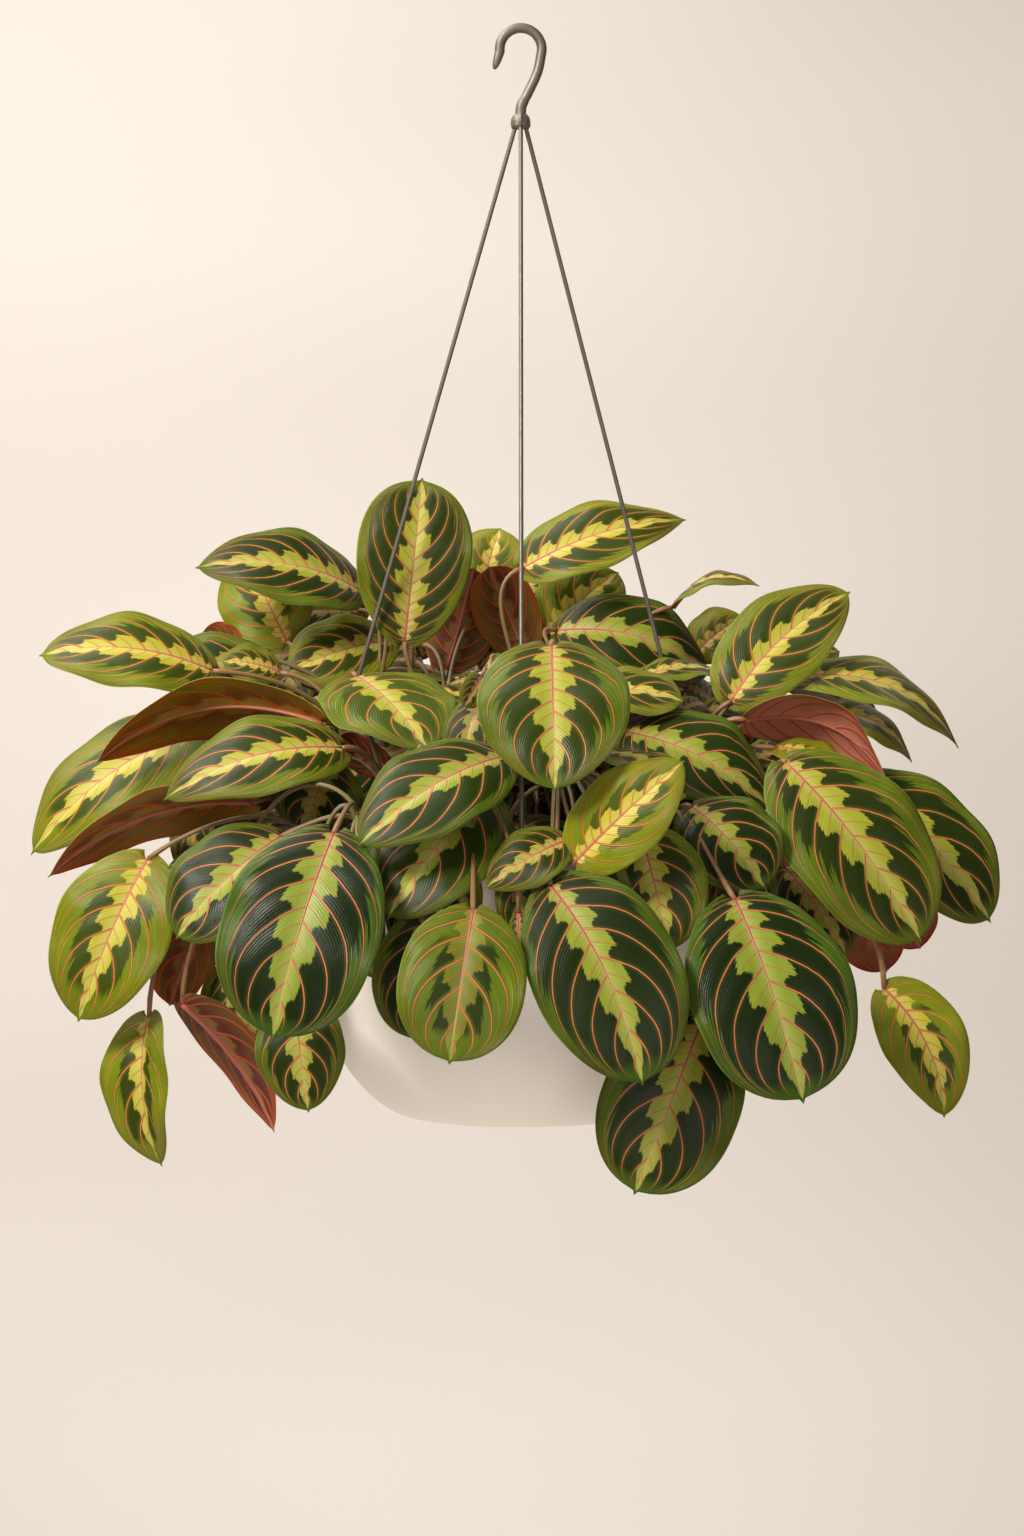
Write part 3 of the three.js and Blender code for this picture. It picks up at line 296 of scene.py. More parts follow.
def midrib(leaf, t):
    """Points, directions and normals along the midrib, for an array of shares t."""
    reach = leaf.tip - leaf.base
    length = np.linalg.norm(reach)
    axis = reach / length
    face = unit(leaf.face - axis * (leaf.face @ axis))
    side = np.cross(axis, face)
    bow = (4 * t * (1 - t))[:, None]
    slope = (4 * (1 - 2 * t))[:, None]
    point = leaf.base + reach * t[:, None] + (face * leaf.arch + side * leaf.sweep) * length * bow
    along = unit(reach + (face * leaf.arch + side * leaf.sweep) * length * slope)
    normal = unit(face - along * (along @ face)[:, None])
    return point, along, normal, np.cross(along, normal), length, bow


def blade_points(leaf, t, s):
    """The blade's middle surface and its normals on the grid of shares t along and s across."""
    point, along, normal, edge, length, bow = (
        part[:, None, :] if np.ndim(part) == 2 else part for part in midrib(leaf, t)
    )
    across = s[None, :, None]
    side = np.sign(across)
    half = (0.5 * leaf.width * half_width(leaf, t))[:, None, None]
    turn = leaf.curl * np.abs(across)
    out = half * (math.sin(leaf.fold) - np.sin(leaf.fold - turn)) / leaf.curl
    lift = half * (np.cos(leaf.fold - turn) - math.cos(leaf.fold)) / leaf.curl
    shift = np.where(across > 0, 0, 1.9)
    wave = np.sin(4.4 * np.pi * t[:, None, None] + leaf.phase + shift)
    lift = lift + 0.03 * leaf.width * across**2 * bow * wave
    lobe = -0.05 * length * np.exp(-t / 0.1)[:, None, None] * across**2
    place = point + edge * side * out + normal * lift + along * lobe
    tilt = leaf.fold - turn
    up = np.where(side == 0, normal, normal * np.cos(tilt) - edge * side * np.sin(tilt))
    return place, up


# The run of the long veins. Each leaves the midrib at its own origin, swings towards the
# tip and ends up beside the margin.

ORIGINS = [0, 0.1, 0.22, 0.41, 0.62, 0.82, 1]
VEIN_ENDS = [1.0, 0.94, 0.89, 0.86, 0.77, 0.58, 0.26]
VEIN_BENDS = [0.06, 0.11, 0.16, 0.22, 0.26, 0.22, 0.14]

# What vein_order says of a vein that begins at the tip.
TIP_ORDER = 5.6


def vein_across(origin, t):
    """How far across the vein from that origin is, a share t along the blade."""
    end = np.interp(origin, ORIGINS, VEIN_ENDS)
    bend = np.interp(origin, ORIGINS, VEIN_BENDS)
    return end * (1 - np.exp(-(t - origin) / bend))


def vein_order(t, away):
    """A number for each place of the half blade that rises evenly from vein to vein. It finds
    where on the midrib the vein through a place begins."""
    low = np.zeros_like(away)
    high = np.broadcast_to(t, away.shape).copy()
    for _ in range(30):
        middle = (low + high) / 2
        outside = vein_across(middle, t) > away
        low = np.where(outside, middle, low)
        high = np.where(outside, high, middle)
    origin = (low + high) / 2
    order = 3.09 * origin + 0.872 * np.log(1 + origin / 0.06)
    beyond = np.maximum(away - vein_across(np.zeros_like(away), t), 0)
    return order - 2.4 * beyond


# Meshes


class Shell:
    """Vertices with what the materials read, and faces with the number of their material."""

    def __init__(self):
        self.points, self.faces, self.kinds = [], [], []
        self.layers = {"blade": [], "vein": [], "look": []}
        self.count = 0

    def add_grid(self, points, blade, vein, look, kind, flip=False, ring=False):
        rows, columns, _ = points.shape
        self.points.append(points.reshape(-1, 3))
        for layer, values in zip(self.layers.values(), (blade, vein, look)):
            layer.append(np.broadcast_to(values, points.shape).reshape(-1, 3))
        index = self.count + np.arange(rows * columns).reshape(rows, columns)
        self.count += rows * columns
        if ring:
            index = np.concatenate([index, index[:, :1]], axis=1)
        a, b = index[:-1, :-1], index[:-1, 1:]
        c, d = index[1:, 1:], index[1:, :-1]
        corners = [a, d, c, b] if flip else [a, b, c, d]
        self.add_faces(np.stack(corners, axis=-1).reshape(-1, 4).tolist(), kind)
        return index

    def add_faces(self, faces, kind):
        self.faces.extend(faces)
        self.kinds.extend([kind] * len(faces))

    def build(self, name, materials):
        """Makes the mesh, and moves it from the rim's frame to the object's own."""
        mesh = bpy.data.meshes.new(name)
        points = (np.concatenate(self.points) + [0, 0, RIM_Z]) * MM
        mesh.from_pydata(points.tolist(), [], self.faces)
        for title, rows in self.layers.items():
            layer = mesh.attributes.new(title, "FLOAT_VECTOR", "POINT")
            layer.data.foreach_set("vector", np.concatenate(rows).astype(np.float32).ravel())
        mesh.polygons.foreach_set("material_index", self.kinds)
        mesh.polygons.foreach_set("use_smooth", [True] * len(self.faces))
        for material in materials:
            mesh.materials.append(material)
        mesh.update()
        made = bpy.data.objects.new(name, mesh)
        bpy.context.scene.collection.objects.link(made)
        return made


# The materials of a leafy stem by number, and the kinds of round part that the last one tells.
UPPER, UNDER, STALK = 0, 1, 2
STEM_PART, STALK_PART, RIB_PART = 0.0, 1.0, 2.0

# How finely a leaf is made: rows along the blade, places across each half, and the steps
# and sides of its stalk. Leaves narrower than SMALL_LEAF and those deep in the bush are coarser.
SMALL_LEAF = 47
FINE = (44, [0, 0.025, 0.08, 0.16, 0.25, 0.34, 0.43, 0.52, 0.61, 0.7, 0.79, 0.87, 0.94, 1], 22, 10)
MIDDLING = (32, [0, 0.03, 0.12, 0.24, 0.37, 0.5, 0.63, 0.76, 0.88, 0.95, 1], 18, 8)
COARSE = (18, [0, 0.05, 0.24, 0.46, 0.68, 0.88, 1], 10, 6)

# How far the skin puffs up and the margin out between two veins, as shares of the width.
QUILT = 0.014
SCALLOP = 0.011

# Half the thickness of a blade at the midrib, and how much of it is gone at the margin.
HALF_THICK = 0.32
THINNING = 0.17

# The veins of the two halves leave the midrib by turns, this share of a step apart.
OTHER_HALF = 0.45

STALK_RADIUS = 1.25

# Below this height a stalk comes down on its leaf from straight above.
DEEP = -24


def blade_grid(leaf):
    rows, half, _, _ = leaf.grain
    half = np.array(half)
    x = np.linspace(0, 1, rows)
    t = 0.003 + 0.994 * (0.4 * x + 0.3 * (1 - np.cos(np.pi * x)))
    return t, np.concatenate([-half[:0:-1], half])


def size_of_step(place, order, t, s):
    """Millimetres from one vein to the next, square to them, on the grid."""
    by_t = np.gradient(place, t, axis=0)
    by_s = np.gradient(place, s, axis=1)
    order_t = np.gradient(order, t, axis=0)
    order_s = np.gradient(order, s, axis=1)
    tt, ss, ts = (by_t**2).sum(-1), (by_s**2).sum(-1), (by_t * by_s).sum(-1)
    area = np.maximum(tt * ss - ts**2, 1e-3)
    rise = (order_t**2 * ss - 2 * order_t * order_s * ts + order_s**2 * tt) / area
    return np.clip(1 / np.sqrt(np.maximum(rise, 1e-6)), 1, 40)


def border(grid):
    """The indices along the edge of a grid, all round."""
    sides = [grid[:, 0], grid[-1, 1:], grid[-2::-1, -1], grid[0, -2:0:-1]]
    return np.concatenate(sides).tolist()


def add_blade(shell, leaf):
    """Both faces of a blade, quilted between the veins, thin at the edge and closed all round."""
    t, s = blade_grid(leaf)
    away = np.broadcast_to(np.abs(s), (len(t), len(s)))
    order = vein_order(t[:, None], away) * leaf.veins / TIP_ORDER + leaf.seed
    place, up = blade_points(leaf, t, s)
    pace = size_of_step(place, order, t, s)
    puff = np.abs(np.sin(np.pi * (order + np.where(s > 0, OTHER_HALF, 0)))) ** 0.7
    calm = np.minimum(away * 5, 1) * (1 - 0.35 * away**4) * np.sqrt(np.sin(np.pi * t))[:, None]
    place = place + up * (QUILT * leaf.width * (puff - 0.5 * away**4) * calm)[..., None]
    outward = unit(np.gradient(place, s, axis=1)) * np.sign(s)[None, :, None]
    place = place + outward * (SCALLOP * leaf.width * (puff - 0.7) * away**4 * calm)[..., None]
    half = 0.5 * leaf.width * half_width(leaf, t)[:, None]
    blade = np.stack(np.broadcast_arrays(s, t[:, None], away * half), -1)
    vein = np.stack(np.broadcast_arrays(order, pace, leaf.faint), -1)
    thick = (HALF_THICK - THINNING * away**3)[..., None]
    top = border(shell.add_grid(place + up * thick, blade, vein, leaf.look(), UPPER))
    low = border(shell.add_grid(place - up * thick, blade, vein, leaf.look(), UNDER, flip=True))
    edge = zip(top[1:] + top[:1], low[1:] + low[:1], low, top)
    shell.add_faces([list(corners) for corners in edge], UPPER)


def ring_frames(points):
    """Directions along a line of points and two square to them, without twist."""
    along = unit(np.gradient(points, axis=0))
    helper = np.array([1.0, 0, 0]) if abs(along[0][2]) > 0.95 else np.array([0, 0, 1.0])
    across = np.cross(along[0], helper)
    first = []
    for way in along:
        across = unit(across - way * (across @ way))
        first.append(across)
    first = np.array(first)
    return along, first, np.cross(along, first)


def add_tube(shell, points, radii, look, sides, part):
    """A round part with closed ends. The materials read how far along it a place is."""
    _, first, second = ring_frames(points)
    turn = 2 * np.pi * np.arange(sides) / sides
    spokes = first[:, None] * np.cos(turn)[:, None] + second[:, None] * np.sin(turn)[:, None]
    rings = points[:, None] + spokes * np.asarray(radii)[:, None, None]
    share = np.linspace(0, 1, len(points))[:, None]
    blade = np.stack(np.broadcast_arrays(turn, share, part), -1)
    index = shell.add_grid(rings, blade, np.zeros(3), look, STALK, ring=True)
    shell.add_faces([index[0, -2::-1].tolist(), index[-1, :-1].tolist()], STALK)


def stalk_line(start, leaf, steps):
    """The middle line of the leaf stalk, from the stem to the blade."""
    span = leaf.base - start
    distance = np.linalg.norm(span)
    level = unit(np.array([span[0], span[1], 0]))
    low = leaf.base[2] < 0
    axis = unit(leaf.tip - leaf.base)
    lean = 0.15 if axis @ level < 0 else 0.8
    deep = np.array([0, 0, -1.0]) if leaf.base[2] < DEEP else unit(level + [0, 0, -0.8])
    arrive = deep if low else unit(axis + level * lean)
    reach = leaf.reach if leaf.reach is not None else (0.55 if low else 0.34)
    first = start + level * 0.12 * distance + [0, 0, leaf.rise * distance]
    second = leaf.base - arrive * reach * distance
    u = np.linspace(0, 1, steps)[:, None]
    return (
        start * (1 - u) ** 3 + 3 * first * u * (1 - u) ** 2 + 3 * second * u**2 * (1 - u) + leaf.base * u**3
    )


def add_leaf(shell, leaf, start):
    """A blade, the midrib that stands out under it, and the stalk with its sheath and joint."""
    add_blade(shell, leaf)
    _, _, steps, sides = leaf.grain
    t = np.linspace(0, 0.93, steps)
    point, _, normal, _, _, _ = midrib(leaf, t)
    radii = STALK_RADIUS * (1 - t) ** 0.8 + 0.12
    under = point - normal * (radii * 0.45)[:, None]
    add_tube(shell, under, radii, leaf.look(), sides, RIB_PART)
    line = stalk_line(start, leaf, steps)
    length = np.linalg.norm(np.diff(line, axis=0), axis=1).sum()
    place = np.linspace(0, 1, len(line)) * length
    sheath = 0.7 * np.exp(-place / 16)
    joint = 0.35 * np.exp(-(((length - 6 - place) / 6) ** 2))
    add_tube(shell, line, STALK_RADIUS + sheath + joint, leaf.look(), sides, STALK_PART)


def stem_line(row):
    _, (x, y), top, _ = row
    foot = np.array([x, y, -SOIL_DEPTH - STEM_ROOT], float)
    neck = np.array([x, y, -10], float)
    end = np.array(top, float)
    knee = (neck + end) / 2 + [0, 0, 4]
    return foot, neck, knee, end


def add_stem(shell, row):
    """The upright stem, with a swelling at each joint."""
    foot, neck, knee, end = stem_line(row)
    corners = np.array([foot, neck, knee, end])
    shares = np.linspace(0, 3, 28)
    line = np.stack([np.interp(shares, range(4), corners[:, k]) for k in range(3)], -1)
    radii = np.interp(shares, range(4), [2.6, 2.6, 2.4, 2.0])
    radii = radii + 0.5 * np.exp(-((np.mod(shares + 0.4, 0.9) - 0.45) / 0.09) ** 2) * (shares > 1)
    add_tube(shell, line, radii, np.array([0.2, 0, 0.5]), 12, STEM_PART)


def leaf_starts(row):
    """Where each leaf stalk of a stem leaves it."""
    _, _, knee, end = stem_line(row)
    return [knee + (end - knee) * (0.95 if k % 2 == 0 else 0.55) for k in range(len(row[3]))]


# Leaves deep in the bush, drawn at random and kept where they touch nothing. The first tries
# draw leaves that get smaller and smaller. The later ones draw leaves of 18 to 40 mm for the
# places where the light wall still shows, also past the outer EDGE of the leaves in front.
# LAST_SHOWN ends the leaves of the photo. The rooms are millimetres between an inner leaf's
# points, or its stalk's, and all that stands. The camera's view is cut in cells.

LAST_SHOWN = "BB"
INNER_TRIES = 9000
SMALL_TRIES = 4000
EDGE = 0.08
BLADE_ROOM = 3.4
STALK_ROOM = 2.0
VIEW_CELL = 3.0
SAMPLE_STEP = 5.0

# Where leaves stand one behind another, seen from the front: a height against the camera's,
# and how far this part reaches to the left and to the right.
DENSE = [
    (-130, -165, -110), (-101, -188, -80), (-100, -188, 70), (-80, -194, 205), (-40, -188, 170),
    (10, -200, 150), (40, -190, 120), (80, -165, 108), (95, -120, 80), (110, -20, 15),
]


def outline_points(leaf):
    rows = max(9, round(np.linalg.norm(leaf.tip - leaf.base) / SAMPLE_STEP))
    columns = max(7, round(leaf.width / SAMPLE_STEP))
    place, _ = blade_points(leaf, np.linspace(0.04, 0.97, rows), np.linspace(-0.95, 0.95, columns))
    return place.reshape(-1, 3)


def tree_of(points):
    tree = KDTree(len(points))
    for index, point in enumerate(points):
        tree.insert(point, index)
    tree.balance()
    return tree


def touches(points, trees, room):
    return any(tree.find(point)[2] < room for tree in trees for point in points)


def from_front(points):
    """The cell in which the camera in front sees each point, and how far away it is."""
    away = CAMERA_AWAY + points[:, 1]
    across = (points[:, 0] - CAMERA_SIDE) / away * CAMERA_AWAY
    height = (points[:, 2] - CAMERA_HEIGHT) / away * CAMERA_AWAY
    cells = np.floor(np.stack([across, height], -1) / VIEW_CELL).astype(int)
    return zip(map(tuple, cells.tolist()), away.tolist())


def cover(view, leaf, edge=0.0):
    """Notes in the view how far away the leaf, less its edge, is in each cell that it covers."""
    t, s = np.linspace(0.01 + edge, 0.99 - edge, 44), np.linspace(edge - 1, 1 - edge, 33)
    place, _ = blade_points(leaf, t, s)
    for cell, distance in from_front(place.reshape(-1, 3)):
        view[cell] = min(distance, view.get(cell, math.inf))


def front_view(leaves, edge=0.0):
    view = {}
    for leaf in leaves:
        cover(view, leaf, edge)
    return view


def before_bowl(height):
    """Whether the camera sees the bowl, and not the bush over it, at that height."""
    return height + CAMERA_HEIGHT < 5


def faces_front(leaf):
    """Whether the camera sees a face of the leaf, and not its side."""
    _, up = blade_points(leaf, np.array([0.5]), np.array([0.0]))
    return abs(up[0, 0, 1]) > 0.3


def open_cells(covered):
    """The cells of the dense part that no leaf covers yet. Leaves behind the bowl don't count."""
    heights, lefts, rights = zip(*DENSE)
    cells = []
    for row in range(int(heights[0] / VIEW_CELL), int(heights[-1] / VIEW_CELL)):
        height = (row + 0.5) * VIEW_CELL
        left = np.interp(height, heights, lefts)
        right = np.interp(height, heights, rights)
        farthest = CAMERA_AWAY if before_bowl(height) else math.inf
        for column in range(int(left / VIEW_CELL), int(right / VIEW_CELL)):
            if covered.get((column, row), math.inf) >= farthest:
                cells.append((column, row))
    return cells


def hides_front(points, view, allowed):
    """Whether more than a few of the points stand before the leaves seen from the front."""
    return sum(distance < view.get(cell, 0) for cell, distance in from_front(points)) > allowed


def clear_of_bowl(points):
    """Whether all points are over the soil, over the rim or outside the bowl's wall."""
    radius = np.hypot(points[:, 0], points[:, 1])
    over_soil = (radius < RIM_RADIUS - 8) & (points[:, 2] > -9)
    over_rim = points[:, 2] > 5
    outside = radius > RIM_RADIUS + 3
    return bool((over_soil | over_rim | outside).all())


def inside_box(points):
    low, high = (np.array(corner) / MM - [0, 0, RIM_Z] for corner in CAD_BOX)
    return bool((points > low + 8).all() and (points < high - 8).all())


def shrunk(index):
    """The size of a later leaf as a share of the first ones'."""
    return 1 - 0.45 * index / INNER_TRIES


def draw_leaf_behind(draw, index, cell):
    """A leaf at random whose middle is seen in that cell: deep in the bush, or over the rim."""
    across, height = ((part + 0.5) * VIEW_CELL for part in cell)
    low = before_bowl(height)
    small = index >= INNER_TRIES
    ring = draw.uniform(144, 162)
    farthest = 150 if small else 60
    depth = -math.sqrt(max(ring**2 - across**2, 0)) if low else draw.uniform(-140, farthest) + height
    away = (CAMERA_AWAY + depth) / CAMERA_AWAY
    middle = np.array([CAMERA_SIDE + across * away, depth, CAMERA_HEIGHT + height * away])
    outward = unit(middle * [1, 1, 0])
    if low:
        rise = draw.uniform(9, 20) if small else draw.uniform(4, 16) - middle[2]
        half = [draw.gauss(0, 0.2) * rise, 0, -rise]
        face = outward + [draw.gauss(0, 0.2), 0, 0.1]
    else:
        way = outward * draw.uniform(0.1, 0.9)
        way = way + [draw.gauss(0, 0.35), draw.gauss(0, 0.2), draw.uniform(-1.1, 0.1)]
        size = draw.uniform(9, 20) if small else draw.uniform(18, 38) * shrunk(index)
        half = unit(way) * size
        face = np.array([draw.gauss(0, 0.3), -1, draw.uniform(0.2, 1)])
    width = 2 * np.linalg.norm(half) * draw.uniform(0.5, 0.66)
    return Leaf([f"inner {index}", middle - half, middle + half, face, width, 0.1, 9, 20], index)


def draw_inner_leaf(draw, index):
    """A leaf at random, in the crown or hanging over the rim."""
    angle = draw.uniform(-math.pi, math.pi)
    outward = np.array([math.cos(angle), math.sin(angle), 0])
    if draw.random() < 0.3:
        distance = draw.uniform(142, 172)
        height = draw.uniform(-6, 36)
        drop = draw.uniform(-4, -1)
    else:
        distance = 165 * math.sqrt(draw.uniform(0.01, 1))
        height = draw.uniform(6, 142 - 0.5 * distance)
        drop = draw.uniform(-1.4, 0.6)
    turn = angle + draw.gauss(0, 0.6)
    length = draw.uniform(48, 82) * shrunk(index)
    way = np.array([math.cos(turn), math.sin(turn), drop])
    way = way / np.linalg.norm(way) * length
    base = outward * distance + [0, 0, height]
    face = outward * draw.uniform(0.6, 1.4) + [draw.gauss(0, 0.25), draw.gauss(0, 0.25), 0.7]
    width = length * draw.uniform(0.52, 0.66)
    row = [f"inner {index}", base, base + way, face, width, draw.uniform(0.06, 0.16), 9, 20]
    return Leaf(row, index)


def standing_points(leaves, wire_lines):
    """Points on all that an inner leaf may not touch."""
    points = [outline_points(leaf) for leaf in leaves.values()]
    for row in STEMS:
        _, neck, _, end = stem_line(row)
        points.append(np.linspace(neck, end, 12))
        for title, start in zip(row[3], leaf_starts(row)):
            points.append(stalk_line(start, leaves[title], 12))
    return np.concatenate([*points, *wire_lines])


def grow_inner_leaves(leaves, wire_lines):
    """The inner leaves of each stem, drawn with a fixed seed."""
    draw = random.Random(271)
    ends = {row[0]: stem_line(row)[3] for row in STEMS}
    trees = [tree_of(standing_points(leaves, wire_lines))]
    view = front_view(list(leaves.values())[: list(leaves).index(LAST_SHOWN) + 1])
    covered = front_view(leaf for leaf in leaves.values() if faces_front(leaf))
    standing = list(leaves.values())
    holes = open_cells(covered)
    added = []
    grown = {name: [] for name in ends}
    for index in range(INNER_TRIES + SMALL_TRIES):
        small = index >= INNER_TRIES
        if index == INNER_TRIES:
            covered = front_view(standing, EDGE)
            holes = open_cells(covered)
        if small and not holes:
            break
        behind = holes and (small or index % 2 == 1)
        leaf = draw_leaf_behind(draw, index, draw.choice(holes)) if behind else draw_inner_leaf(draw, index)
        points = outline_points(leaf)
        allowed = len(points) // 8 if behind else 2
        if not clear_of_bowl(points) or not inside_box(points) or hides_front(points, view, allowed):
            continue
        if touches(points, trees, BLADE_ROOM):
            continue
        name = min(ends, key=lambda title: np.linalg.norm((ends[title] - leaf.base) * [1, 1, 0.5]))
        line = stalk_line(ends[name], leaf, 14)
        if not clear_of_bowl(line) or touches(line[3:-2], trees, STALK_ROOM) or hides_front(line, view, 2):
            continue
        leaf.grain = COARSE
        leaf.youth *= 0.5
        leaf.faint = -0.25
        grown[name].append(leaf)
        standing.append(leaf)
        added.extend([points, line[2:]])
        trees = [trees[0], tree_of(np.concatenate(added))]
        if small or faces_front(leaf):
            cover(covered, leaf, EDGE if small else 0)
        holes = open_cells(covered)
    return grown


def foliage(row, leaves, inner, materials):
    """One leafy stem: its shoot, the leaves it carries and the inner ones grown on it."""
    name, _, _, titles = row
    shell = Shell()
    add_stem(shell, row)
    for title, start in zip(titles, leaf_starts(row)):
        add_leaf(shell, leaves[title], start)
    for leaf in inner[name]:
        add_leaf(shell, leaf, stem_line(row)[3])
    made = shell.build(f"foliage_{name}", materials)
    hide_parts(f"stem_{name}")
    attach(made, "root")


# Materials


def linear(colour):
    """An sRGB hex colour as the linear numbers that a shader takes."""
    numbers = [int(colour[k : k + 2], 16) / 255 for k in (1, 3, 5)]
    return [c / 12.92 if c <= 0.04045 else ((c + 0.055) / 1.055) ** 2.4 for c in numbers] + [1.0]


def add_node(tree, kind, *inputs, stops=None, **settings):
    """Adds a node with its settings, and sets or links its inputs in their order. A word after
    the kind names its operation. Stops of (place, grey or hex colour) fill a ramp."""
    kind, _, operation = kind.partition(" ")
    made = tree.nodes.new("ShaderNode" + kind)
    if operation:
        made.operation = operation
    for name, value in settings.items():
        setattr(made, name, value)
    if stops:
        elements = made.color_ramp.elements
        while len(elements) < len(stops):
            elements.new(0.5)
        for element, (place, value) in zip(elements, stops):
            element.position = place
            element.color = linear(value) if isinstance(value, str) else [value, value, value, 1]
    for socket, value in zip(made.inputs, inputs):
        if isinstance(value, bpy.types.Node):
            value = value.outputs[0]
        if isinstance(value, bpy.types.NodeSocket):
            tree.links.new(value, socket)
        elif value is not None:
            socket.default_value = linear(value) if isinstance(value, str) else value
    return made


def new_material(name, roughness, specular=0.5, metallic=0.0):
    """A material with plain values, the function that adds nodes to it, and its places."""
    material = bpy.data.materials.new(name)
    material.use_nodes = True
    tree = material.node_tree
    sockets = tree.nodes["Principled BSDF"].inputs
    sockets["Roughness"].default_value = roughness
    sockets["Specular IOR Level"].default_value = specular
    sockets["Metallic"].default_value = metallic
    add = partial(add_node, tree)
    return material, add, add("TexCoord").outputs["Object"]


def wear(material, surface, bump=None, rough=None):
    """Links what was worked out for each place to the material's shader."""
    tree = material.node_tree
    sockets = tree.nodes["Principled BSDF"].inputs
    for name, node in (("Base Color", surface), ("Normal", bump), ("Roughness", rough)):
        if node:
            tree.links.new(node.outputs[0], sockets[name])
    return material


# How far the pale band reaches from one vein to the next, and how wide it is along the blade.
LOBE_EDGE = [
    (0.0, 0.84), (0.1, 0.82), (0.14, 0.92), (0.17, 0.84), (0.28, 0.96), (0.31, 0.87), (0.45, 1.0),
    (0.49, 0.88), (0.54, 0.9), (0.57, 0.7), (0.63, 0.6), (0.67, 0.64), (0.71, 0.5), (0.86, 0.4),
    (0.965, 0.4), (0.985, 0.82),
]
BAND_WIDTH = [(0.0, 0.3), (0.15, 0.31), (0.4, 0.28), (0.6, 0.23), (0.76, 0.17), (0.88, 0.11), (1.0, 0.02)]


def read_leaf(add, place):
    """What both faces of a blade read: where a place is on the blade and between its veins."""
    at = SimpleNamespace()
    across, at.along, at.from_rib = add("SeparateXYZ", add("Attribute", attribute_name="blade")).outputs
    order, at.pace, at.faint = add("SeparateXYZ", add("Attribute", attribute_name="vein")).outputs
    at.youth, at.patch, at.seed = add("SeparateXYZ", add("Attribute", attribute_name="look")).outputs
    at.away = add("Math ABSOLUTE", across)

    # The veins leave the midrib at places of their own on each half, and wander a little.
    order = add("Math MULTIPLY_ADD", add("Math GREATER_THAN", across, 0.0), OTHER_HALF, order)
    at.order = add("Math MULTIPLY_ADD", add("TexNoise", place, None, 45.0, 1.0), 0.16, order)
    at.from_vein = add("Math MULTIPLY", add("Math PINGPONG", at.order, 0.5), at.pace)
    at.zone = add("Math FRACT", at.order)
    at.lobe = add("ValToRGB", at.zone, stops=LOBE_EDGE)
    at.width = add("ValToRGB", at.along, stops=BAND_WIDTH)
    return at


def vein_bump(add, at, vein, share, grain=None):
    """The veins and the fine ribs beside them, raised from the skin."""
    ribs = add("Math SINE", add("Math MULTIPLY", at.order, 56.0))
    height = add("Math MULTIPLY_ADD", ribs, 0.05, add("Math MULTIPLY", vein, share))
    if grain:
        height = add("Math MULTIPLY_ADD", grain, 0.12, height)
    return add("Bump", 0.75, 0.0008, None, height)


def layered(add, youth, first, *layers):
    """Colours laid over one another, each as far as its mask says. A pair of colours runs from
    an old leaf's to a young one's."""

    def colour(parts):
        return add("MixRGB", youth, *parts) if len(parts) == 2 else parts[0]

    surface = colour(first)
    for mask, *parts in layers:
        surface = add("MixRGB", mask, surface, colour(parts))
    return surface


